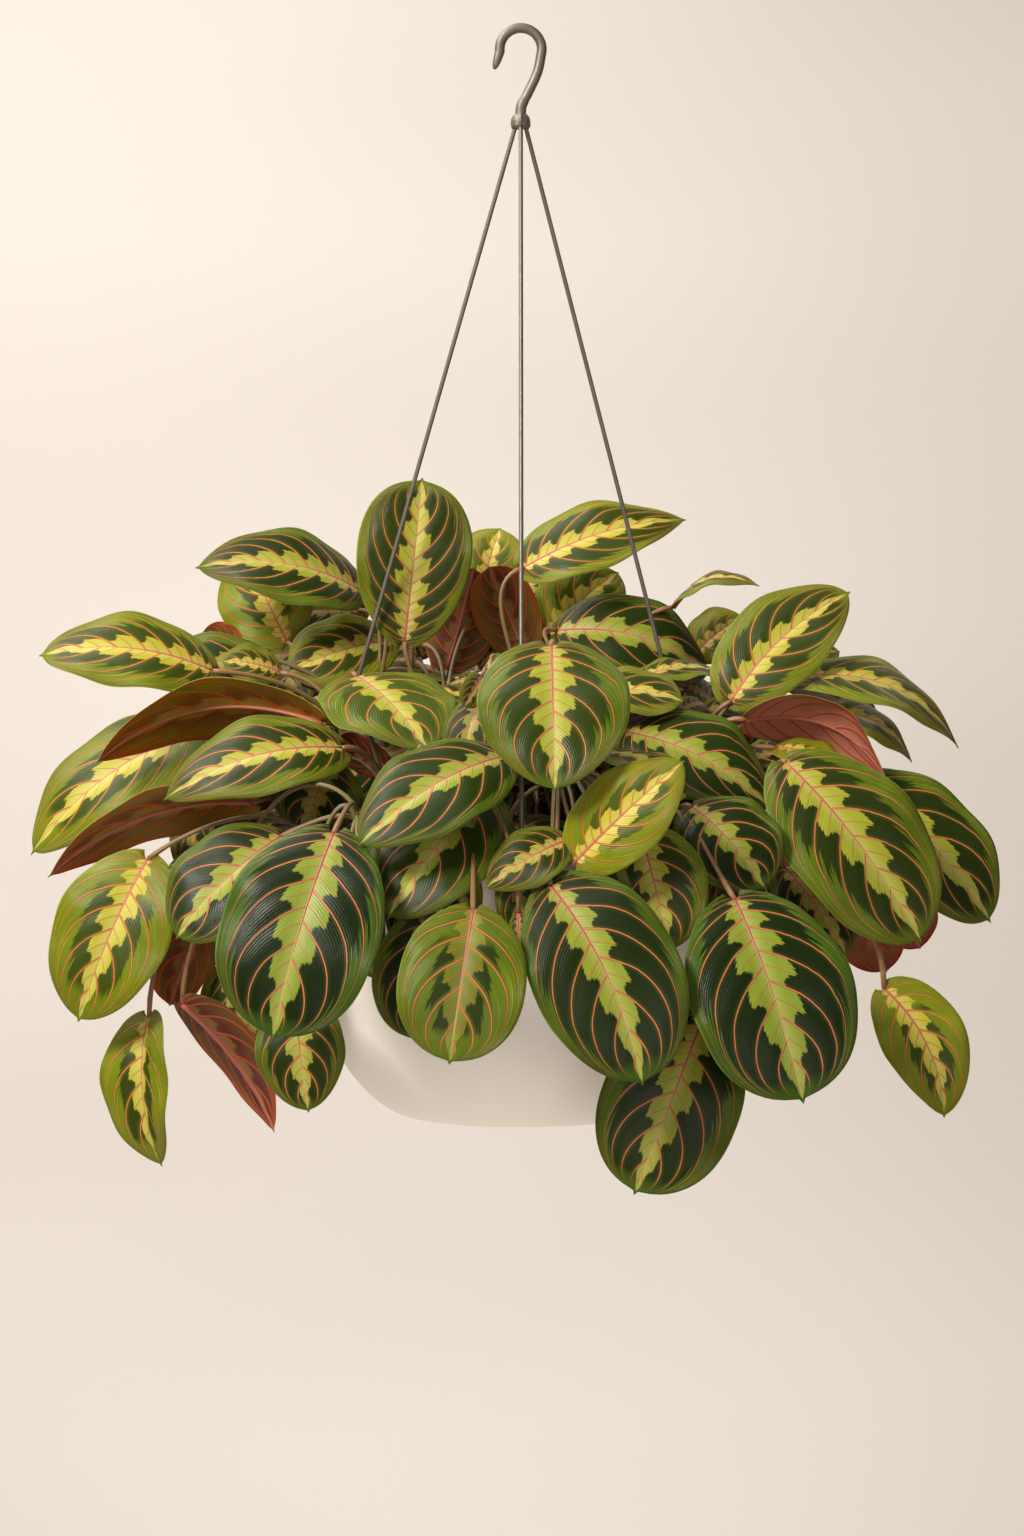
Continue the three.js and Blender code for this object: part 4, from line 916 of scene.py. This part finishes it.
def leaf_upper():
    """The waxed upper skin of a maranta leaf: a soft satin shine over dark velvety patches
    between green outer fields, a pale toothed band along the midrib, and coral-red veins."""
    material, add, place = new_material("maranta_leaf_upper_skin", 0.36, specular=0.16)
    at = read_leaf(add, place)

    # A vein is about 0.9 mm wide at the midrib and half that near the margin.
    own_half = add("MapRange", at.pace, 2.0, 9.0, 0.2, 0.42)
    vein_half = add("Math MULTIPLY_ADD", at.away, -0.16, own_half)
    vein = add("MapRange", at.from_vein, vein_half, add("Math ADD", vein_half, 0.18), 1.0, 0.0)
    vein = add("Math MULTIPLY", vein, add("MapRange", at.away, 0.8, 0.98, 1.0, 0.1))
    vein = add("Math MULTIPLY", vein, add("MapRange", at.along, 0.86, 0.95, 1.0, 0.0))
    core = add("MapRange", at.from_vein, 0.0, vein_half, 1.0, 0.0)
    rib_half = add("MapRange", at.along, 0.0, 1.0, 0.8, 0.2)
    rib = add("MapRange", at.from_rib, rib_half, add("Math ADD", rib_half, 0.25), 1.0, 0.0)
    rib = add("Math MULTIPLY", rib, add("MapRange", at.along, 0.88, 0.99, 1.0, 0.2))

    # The pale band: a lobe from each vein to the next, with teeth and a notch.
    width = add("Math MULTIPLY", at.width, add("MapRange", at.seed, 0.0, 1.0, 0.84, 1.12))
    band_edge = add("Math MULTIPLY", at.lobe, width)
    ragged = add("TexNoise", place, None, 300.0, 2.0)
    band_edge = add("Math MULTIPLY_ADD", ragged, 0.05, band_edge)
    pale = add("MapRange", add("Math SUBTRACT", at.away, band_edge), 0.012, 0.036, 1.0, 0.0)
    band_shown = add("Math MULTIPLY", pale, add("MapRange", at.faint, -1.0, 0.0, 0.0, 1.0))

    # The dark patches end in steps and streaks along the veins, each field at its own reach.
    streak_place = add(
        "CombineXYZ",
        add("Math MULTIPLY", at.order, 11.0),
        add("Math MULTIPLY", at.away, 1.7),
        add("Math MULTIPLY", at.seed, 20.0),
    )
    streaks = add("TexNoise", streak_place, None, 1.0, 3.0, 0.6)
    field = add("Math ADD", add("Math FLOOR", at.order), at.seed)
    strip = add("Math ADD", add("Math FLOOR", add("Math MULTIPLY", at.order, 7.0)), at.seed)
    field, strip = (add("TexWhiteNoise", None, part, noise_dimensions="1D") for part in (field, strip))
    patch_end = add("Math MULTIPLY_ADD", strip, 0.11, add("Math MULTIPLY_ADD", field, 0.14, at.patch))
    spotted = add("MapRange", at.patch, 0.38, 0.5, 0.2, 0.0)
    shorter = add("Math MULTIPLY", add("Math SUBTRACT", 1.0, at.zone), spotted)
    patch_end = add("Math SUBTRACT", patch_end, shorter)
    patch_past = add("Math SUBTRACT", add("Math MULTIPLY_ADD", streaks, 0.24, at.away), patch_end)
    dark = add("MapRange", patch_past, 0.14, 0.18, 1.0, 0.0)
    ends = add("ValToRGB", at.along, stops=[(0.0, 1.0), (0.88, 1.0), (0.95, 0.0)])
    spot_ends = add("ValToRGB", at.along, stops=[(0.2, 0.0), (0.26, 1.0), (0.78, 1.0), (0.84, 0.0)])
    is_spotted = add("Math GREATER_THAN", spotted, 0.1)
    dark = add("Math MULTIPLY", dark, add("MixRGB", is_spotted, ends, spot_ends))

    # Light streaks in the outer fields.
    light = add("MapRange", streaks, 0.56, 0.68, 0.0, 0.7)
    light = add("Math MULTIPLY", light, add("MapRange", at.away, 0.45, 0.82, 0.0, 1.0))

    # A thin brownish vein runs to the outer tooth of each lobe.
    from_minor = add("Math MULTIPLY", add("Math ABSOLUTE", add("Math SUBTRACT", at.zone, 0.5)), at.pace)
    minor = add("Math MULTIPLY", add("MapRange", from_minor, 0.12, 0.4, 0.75, 0.0), pale)

    # Green fields under dark patches, and over them the band, the veins and a painted highlight on the
    # margin.
    mottle = add("TexNoise", place, None, 60.0, 3.0)
    deep = add("MixRGB", at.youth, "#2C440B", "#606B0C")
    green = layered(add, at.youth, ["#415C14", "#858D12"], [mottle, deep], [light, "#74862E", "#B9B232"])
    # The dark patches' own colour, mixed towards deep green as far as the leaf's faintness says; on leaves
    # that face the light that lightening partly stands for a painted sheen.
    patch_colour = layered(add, at.youth, ["#152206", "#38430A"], [at.faint, deep])
    apart = add("MapRange", at.faint, -0.6, -0.3, 1.0, 0.35)
    halo = add("MapRange", at.from_vein, 0.4, 2.2, apart, 0.0)
    near_rib = add("MapRange", at.from_rib, 0.5, 6.0, 0.7, 0.0)
    band = layered(add, at.youth, ["#7A8A2C", "#BBAE34"], [near_rib, "#9EA052", "#D0C266"])
    coral = layered(add, at.youth, ["#8E3B26", "#A04E22"], [core, "#DA7F60", "#D98348"])
    rib_colour = layered(add, at.youth, ["#CF9070", "#B9582F"], [at.along, "#A8A050"])
    # A thin pale rim on the margin: a painted highlight, where light glints on the edge and shines through
    # it.
    painted_rim_highlight = add("MapRange", at.away, 0.975, 0.995, 0.0, 0.5)
    over_green = [[dark, patch_colour], [halo, green], [band_shown, band], [minor, "#9A5A34"]]
    over_band = [[vein, coral], [rib, rib_colour], [painted_rim_highlight, "#788C3A", "#BDB544"]]
    surface = layered(add, at.youth, [green], *over_green, *over_band)
    bump = vein_bump(add, at, vein, 0.5, grain=add("TexNoise", place, None, 900.0, 2.0))
    return wear(material, surface, bump, add("MapRange", mottle, 0.3, 0.7, 0.29, 0.41))


def leaf_under():
    """The matte underside of a maranta leaf: dusty wine red with olive at the edges, where
    the veins and the band of the upper side show through paler."""
    material, add, place = new_material("maranta_leaf_underside", 0.55, specular=0.15)
    at = read_leaf(add, place)
    vein = add("MapRange", at.from_vein, 0.35, 0.8, 0.9, 0.0)
    band_edge = add("Math MULTIPLY", at.lobe, at.width)
    pale = add("MapRange", add("Math SUBTRACT", at.away, band_edge), 0.0, 0.08, 0.55, 0.0)
    mottle = add("TexNoise", place, None, 70.0, 3.0)
    olive = add("MapRange", at.youth, 0.2, 0.9, 0.5, 0.95)
    edge = add("MapRange", add("Math MULTIPLY_ADD", mottle, 0.4, at.away), 0.5, 1.0, 0.0, olive)
    pink = add("MapRange", at.faint, 0.0, 1.0, 0.0, 1.0)
    rib = add("MapRange", at.from_rib, 0.6, 1.2, 0.9, 0.0)
    over_wine = [[mottle, "#542424", "#875816"], [pale, "#7E5A34", "#A8862E"], [edge, "#5E5226", "#8A7A12"]]
    over_edge = [[pink, "#B5705C"], [vein, "#94402F", "#C24A1A"], [rib, "#A86A54"]]
    surface = layered(add, at.youth, ["#361214", "#6A3410"], *over_wine, *over_edge)
    return wear(material, surface, vein_bump(add, at, vein, 0.6))


def leaf_stalk():
    """Soft green stem tissue: olive-tan and lightly ridged, flushed pink near the blade."""
    material, add, place = new_material("maranta_stem_tissue", 0.45)
    turn, along, part = add("SeparateXYZ", add("Attribute", attribute_name="blade")).outputs
    youth = add("SeparateXYZ", add("Attribute", attribute_name="look")).outputs[0]
    mottle = add("TexNoise", place, None, 120.0, 3.0)
    stem = add("MixRGB", mottle, "#414F1E", "#6A5C30")
    flush = add("ValToRGB", along, stops=[(0.0, "#4E5826"), (0.55, "#75592F"), (1.0, "#A8664A")])
    petiole = add("MixRGB", mottle, flush, "#6F6436")
    is_petiole, is_rib = (add("Math GREATER_THAN", part, limit) for limit in (0.5, 1.5))
    surface = layered(add, youth, [stem], [is_petiole, petiole], [is_rib, "#9A4A44", "#BF6A4C"])
    ridges = add("Math SINE", add("Math MULTIPLY", turn, 9.0))
    return wear(material, surface, add("Bump", 0.3, 0.0004, None, add("Math ADD", ridges, mottle)))


def matte_glaze():
    """Moulded stoneware with a matte warm-white glaze: even, with a faint eggshell grain and
    soft broad highlights."""
    material, add, place = new_material("matte_white_glaze", 0.55)
    surface = add("MixRGB", add("TexNoise", place, None, 9.0, 2.0), "#FBF6EE", "#F5EEE3")
    grain = add("TexNoise", place, None, 1200.0, 2.0)
    rough = add("MapRange", grain, 0.3, 0.7, 0.48, 0.62)
    return wear(material, surface, add("Bump", 0.15, 0.0002, None, grain), rough)


def peat():
    """Damp peat with bits of bark: nearly black brown, crumbly and dull."""
    material, add, place = new_material("damp_peat", 0.9, specular=0.25)
    mottle = add("TexNoise", place, None, 140.0, 4.0)
    surface = add("ValToRGB", mottle, stops=[(0.3, "#1C130D"), (0.55, "#3A281B"), (0.75, "#5A4230")])
    crumbs = add("TexVoronoi", place, None, 260.0)
    return wear(material, surface, add("Bump", 0.9, 0.0015, None, crumbs))


def satin_steel():
    """Drawn steel rod with a grey-brown satin finish: a long soft highlight with fine drawing
    lines."""
    material, add, place = new_material("satin_steel", 0.48, metallic=0.65)
    surface = add("MixRGB", add("TexNoise", place, None, 80.0, 3.0), "#7F776E", "#6A635B")
    lengthwise = add("Mapping", place, None, None, [900.0, 900.0, 40.0])
    drawn = add("TexNoise", lengthwise, None, 1.0, 2.0)
    return wear(material, surface, rough=add("MapRange", drawn, 0.3, 0.7, 0.42, 0.56))


# The bowl, soil and hanger


def deselect():
    if bpy.context.object and bpy.context.object.mode != "OBJECT":
        bpy.ops.object.mode_set(mode="OBJECT")
    bpy.ops.object.select_all(action="DESELECT")


def wall_at(share):
    """A point (radius, height) of the bowl's outer face, a share of the way up."""
    corners = np.array([
        [FOOT_RADIUS, -BOWL_HEIGHT],
        [FOOT_RADIUS + 29, -BOWL_HEIGHT],
        [RIM_RADIUS - 19, -BOWL_HEIGHT + 42],
        [RIM_RADIUS, -2],
    ], float)
    u = share
    weights = [(1 - u) ** 3, 3 * u * (1 - u) ** 2, 3 * u**2 * (1 - u), u**3]
    return weights @ corners


def wall_inward(share, distance):
    """The point a distance inwards from the outer face, square to it."""
    here = wall_at(share)
    ahead = wall_at(min(share + 0.01, 1)) - wall_at(share - 0.01)
    ahead = ahead / np.linalg.norm(ahead)
    return here[0] - ahead[1] * distance, here[1] + ahead[0] * distance


def finish_mesh(made, degrees):
    """Merges doubles, turns the faces outwards and smooths all but the sharp edges."""
    deselect()
    made.select_set(True)
    bpy.context.view_layer.objects.active = made
    bpy.ops.object.mode_set(mode="EDIT")
    bpy.ops.mesh.select_all(action="SELECT")
    bpy.ops.mesh.remove_doubles(threshold=0.00001)
    bpy.ops.mesh.normals_make_consistent(inside=False)
    bpy.ops.object.mode_set(mode="OBJECT")
    bpy.ops.object.transform_apply(location=True, rotation=True, scale=True)
    bpy.ops.object.shade_smooth_by_angle(angle=math.radians(degrees))
    deselect()


def round_body(name, profile, sides, degrees):
    """A round body, drawn ring by ring through a profile of (radius, height) from the rim."""
    deselect()
    radius, height = profile[0]
    middle = (0, 0, (RIM_Z + height) * MM)
    bpy.ops.mesh.primitive_circle_add(
        vertices=sides, radius=radius * MM, fill_type="NGON", location=middle
    )
    made = bpy.context.object
    made.name = name
    bpy.ops.object.mode_set(mode="EDIT")
    bpy.ops.mesh.select_all(action="SELECT")
    for next_radius, next_height in profile[1:]:
        rise = (0, 0, (next_height - height) * MM)
        bpy.ops.mesh.extrude_region_move(TRANSFORM_OT_translate={"value": rise})
        scale = next_radius / radius
        middle = (0, 0, (RIM_Z + next_height) * MM)
        bpy.ops.transform.resize(value=(scale, scale, 1), center_override=middle)
        radius, height = next_radius, next_height
    bpy.ops.object.mode_set(mode="OBJECT")
    finish_mesh(made, degrees)
    return made


def bowl(material):
    """The foot, the outer wall, the rounded rim, the inner wall and the floor."""
    profile = [
        (FOOT_RADIUS - 8, 1.5 - BOWL_HEIGHT),
        (FOOT_RADIUS - 6, 1.5 - BOWL_HEIGHT),
        (FOOT_RADIUS - 4.4, -BOWL_HEIGHT + 0.4),
        (FOOT_RADIUS - 3.6, -BOWL_HEIGHT),
    ]
    profile += [tuple(wall_at(k / 30)) for k in range(31)]
    for degrees in range(20, 180, 20):
        turn = math.radians(degrees)
        profile.append((RIM_RADIUS - 2 + 2 * math.cos(turn), -2 + 2 * math.sin(turn)))
    profile += [wall_inward(0.99 - 0.71 * k / 20, WALL) for k in range(21)]
    profile += [(profile[-1][0] - 14, FLOOR - BOWL_HEIGHT), (20, FLOOR - BOWL_HEIGHT)]
    made = round_body("hanging_bowl", profile, 128, 40)
    for azimuth in WIRE_AZIMUTHS.values():
        drill(made, azimuth)
    finish_mesh(made, 40)
    made.data.materials.append(material)
    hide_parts("pot")
    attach(made, "root")


def drill(made, azimuth):
    """A hole through the wall, for the lower end of a wire."""
    turn = math.radians(azimuth)
    radius = RIM_RADIUS - 3
    bpy.ops.mesh.primitive_cylinder_add(
        vertices=24,
        radius=(WIRE_RADIUS + GAP) * MM,
        depth=18 * MM,
        location=(radius * math.cos(turn) * MM, radius * math.sin(turn) * MM, (RIM_Z - HOLE_BELOW_RIM) * MM),
        rotation=(0, math.pi / 2, turn),
    )
    tool = bpy.context.object
    hole = made.modifiers.new("hole", "BOOLEAN")
    hole.object = tool
    hole.operation = "DIFFERENCE"
    deselect()
    bpy.context.view_layer.objects.active = made
    bpy.ops.object.modifier_apply(modifier="hole")
    bpy.data.objects.remove(tool)


def soil(material):
    """The heaped peat: rings drawn inwards from the wall, then roughened."""
    edge = [wall_inward(0.28 + 0.7 * k / 20, WALL + GAP) for k in range(21)]
    edge = [point for point in edge if point[1] < -SOIL_DEPTH - 2]
    brim = edge[-1][0]
    rings = [(edge[0][0] - 14, FLOOR + GAP - BOWL_HEIGHT), *edge]
    for k in range(1, 26):
        share = 1 - k / 26
        rings.append((max(brim * share, 2), -SOIL_DEPTH + SOIL_RISE * (1 - share**2) - 2 * share**6))
    made = round_body("potting_soil", rings, 96, 180)
    for vertex in made.data.vertices:
        radius = math.hypot(vertex.co.x, vertex.co.y) / MM
        if vertex.co.z / MM > RIM_Z - SOIL_DEPTH - 1.9 and radius < brim - 1:
            lump = noise.noise(vertex.co * 90) * 1.1 + noise.noise(vertex.co * 320) * 0.8
            vertex.co.z += (lump - 1.0) * MM
    made.data.materials.append(material)
    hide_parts("soil")
    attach(made, "root")


def bent_rod(name, points, radii, material, node):
    """A round rod bent along close points, with a radius at each, made as a curve and meshed."""
    deselect()
    bpy.ops.curve.primitive_nurbs_path_add()
    made = bpy.context.object
    made.name = name
    curve = made.data
    curve.splines.clear()
    spline = curve.splines.new("POLY")
    spline.points.add(len(points) - 1)
    for target, point, radius in zip(spline.points, points, radii):
        target.co = [*(np.array(point) * MM), 1]
        target.radius = radius
    spline.use_smooth = True
    curve.dimensions = "3D"
    curve.bevel_depth = MM
    curve.bevel_resolution = 6
    curve.use_fill_caps = True
    made.select_set(True)
    bpy.context.view_layer.objects.active = made
    bpy.ops.object.convert(target="MESH")
    made = bpy.context.object
    finish_mesh(made, 50)
    made.data.materials.clear()
    made.data.materials.append(material)
    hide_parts(node)
    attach(made, "root")


def smooth_line(points, per_span):
    """Catmull-Rom through the points."""
    points = [np.array(p, float) for p in points]
    padded = [2 * points[0] - points[1], *points, 2 * points[-1] - points[-2]]
    line = []
    for a, b, c, d in zip(padded, padded[1:], padded[2:], padded[3:]):
        for k in range(per_span):
            u = k / per_span
            square, cube = 2 * a - 5 * b + 4 * c - d, 3 * b - a - 3 * c + d
            line.append(0.5 * (2 * b + (c - a) * u + square * u**2 + cube * u**3))
    line.append(points[-1])
    return line


def hook(material):
    """The shank in its socket, the neck, the round bend and the tapered tip."""
    centre = BAR_RADIUS - BEND_RADIUS
    bend_start, bend_sweep = -8, 194
    bend = []
    for k in range(37):
        turn = math.radians(bend_start + bend_sweep * k / 36)
        bend.append([BEND_RADIUS * math.cos(turn), 0, centre + BEND_RADIUS * math.sin(turn)])
    foot = [0, 0, COLLAR_TOP - SHANK_SOCKET + GAP]
    neck = [foot, [0, 0, -46], [0.6, 0, -41], [4.2, 0, -34], [9.6, 0, -22], bend[0]]
    tip = [bend[-1], [-13.4, 0, -15.2], [-14.4, 0, -18.4], [-15.2, 0, -20.7]]
    neck_line = smooth_line(neck, 8)
    tip_line = smooth_line(tip, 6)
    line = neck_line + bend[1:] + tip_line[1:]
    shank_end = -38
    radii = [SHANK_RADIUS if point[2] < shank_end else BAR_RADIUS for point in line]
    last = len(tip_line)
    radii[-last:] = np.interp(range(last), [0, 6, 12, 16, last - 1], [BAR_RADIUS, 2.45, 1.85, 1.2, 0.5])
    bent_rod("hanger_hook", line, radii, material, "hook")


def wire_points(azimuth):
    """From its socket in the collar to the rim, through the hole in the wall and up again."""
    turn = math.radians(azimuth)

    def at(radius, height):
        return np.array([radius * math.cos(turn), radius * math.sin(turn), height + RIM_Z])

    start = at(WIRE_START_RADIUS, COLLAR_BOTTOM - RIM_Z)
    outside = RIM_RADIUS + WIRE_RADIUS + GAP + 0.9
    inside = RIM_RADIUS - WALL
    bends = [
        at(radius, rise - HOLE_BELOW_RIM)
        for radius, rise in [
            (outside, 5), (outside + 0.1, 2.6), (outside - 0.7, 0.7), (outside - 2.4, 0),
            (inside - 3, 0), (inside - 4.8, 0.7), (inside - 5.6, 2.4), (inside - 5.8, 9),
        ]
    ]
    down = (bends[0] - start) / np.linalg.norm(bends[0] - start)
    return [start + down * (GAP - WIRE_SOCKET), *smooth_line(bends, 4)]


def wires(material):
    for name, azimuth in WIRE_AZIMUTHS.items():
        line = wire_points(azimuth)
        bent_rod(f"hanger_{name}", line, [WIRE_RADIUS] * len(line), material, name)


# The room, in metres


def backdrop():
    """A pale sweep of paper: floor, wide curve and wall in one, its colour with soft patches of painted light
    and shade.
    """
    deselect()
    material, add, place = new_material("warm_white_paper", 0.95, specular=0.1)
    # Broad soft patches, a little brighter and a little darker, put into the paper's colour: painted uneven
    # light and shade.
    patches = add("TexNoise", add("Mapping", place, None, None, [0.55, 0.55, 1.75]), None, 0.9, 1.0)
    wear(material, add("ValToRGB", patches, stops=[(0.3, "#E8E2DC"), (0.7, "#F5F0EB")]))
    floor_z, wall_y, sweep, floor_size, wall_rise = -2.2, 2.2, 1.3, 12, 4
    middle = (0, wall_y - floor_size / 2, floor_z)
    bpy.ops.mesh.primitive_plane_add(size=floor_size, location=middle)
    made = bpy.context.object
    made.name = "paper_sweep"
    bpy.ops.object.transform_apply(location=True, rotation=True, scale=True)
    bpy.ops.object.mode_set(mode="EDIT")
    bpy.ops.mesh.select_all(action="DESELECT")
    bpy.ops.object.mode_set(mode="OBJECT")
    for edge in made.data.edges:
        edge.select = all(made.data.vertices[i].co.y > wall_y - 0.01 for i in edge.vertices)
    bpy.ops.object.mode_set(mode="EDIT")
    steps = 24
    for k in range(steps):
        before, after = math.pi / 2 * k / steps, math.pi / 2 * (k + 1) / steps
        move = (0, sweep * (math.sin(after) - math.sin(before)), sweep * (math.cos(before) - math.cos(after)))
        bpy.ops.mesh.extrude_region_move(TRANSFORM_OT_translate={"value": move})
    bpy.ops.mesh.extrude_region_move(TRANSFORM_OT_translate={"value": (0, 0, wall_rise)})
    bpy.ops.object.mode_set(mode="OBJECT")
    bpy.ops.object.shade_smooth()
    made.data.materials.append(material)
    deselect()


def lamp(name, place, target, size, power, colour):
    light = bpy.data.lights.new(name, "AREA")
    light.shape = "DISK"
    light.size = size
    light.energy = power
    light.color = linear(colour)[:3]
    made = bpy.data.objects.new(name, light)
    made.location = place
    made.rotation_euler = (Vector(target) - Vector(place)).to_track_quat("-Z", "Y").to_euler()
    bpy.context.scene.collection.objects.link(made)


def light_room():
    middle = (0, 0, -0.42)
    lamp("key", (-1.5, -1.7, 1.2), middle, 0.8, 90, "#FFF9F0")
    lamp("fill", (0.5, -2.3, -0.5), middle, 1.8, 15, "#FFF8F0")
    lamp("rim", (0.9, 1.3, 1.0), middle, 0.8, 2.5, "#FFF9F0")
    lamp("top", (-0.2, -0.6, 1.4), middle, 0.8, 5, "#FFFBF4")
    lamp("wall", (-1.26, 0.6, 1.5), (-0.12, 3.5, -3.2), 1.77, 71, "#FFF8F0")
    world = bpy.data.worlds.new("soft_room")
    world.use_nodes = True
    background = world.node_tree.nodes["Background"]
    background.inputs["Color"].default_value = linear("#FFF9F2")
    background.inputs["Strength"].default_value = 0.17
    bpy.context.scene.world = world


def place_camera():
    camera = bpy.data.cameras.new("camera")
    camera.sensor_fit = "VERTICAL"
    camera.sensor_height = 36
    camera.lens = 74.0
    made = bpy.data.objects.new("camera", camera)
    made.location = (CAMERA_SIDE * MM, -CAMERA_AWAY * MM, (CAMERA_HEIGHT + RIM_Z) * MM)
    made.rotation_euler = (math.radians(90), 0, 0)
    bpy.context.scene.collection.objects.link(made)
    bpy.context.scene.camera = made


place_camera()
light_room()
backdrop()

skins = [leaf_upper(), leaf_under(), leaf_stalk()]
steel = satin_steel()
leaves = {row[0]: Leaf(row, index) for index, row in enumerate(LEAVES)}
wire_lines = [
    np.linspace(*wire_points(azimuth)[:2], 90) - [0, 0, RIM_Z] for azimuth in WIRE_AZIMUTHS.values()
]
inner = grow_inner_leaves(leaves, wire_lines)
for stem_row in STEMS:
    foliage(stem_row, leaves, inner, skins)
bowl(matte_glaze())
soil(peat())
hook(steel)
wires(steel)
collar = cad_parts["collar"]
collar.data.materials.clear()
collar.data.materials.append(steel)

bpy.context.scene.view_settings.view_transform = "Standard"
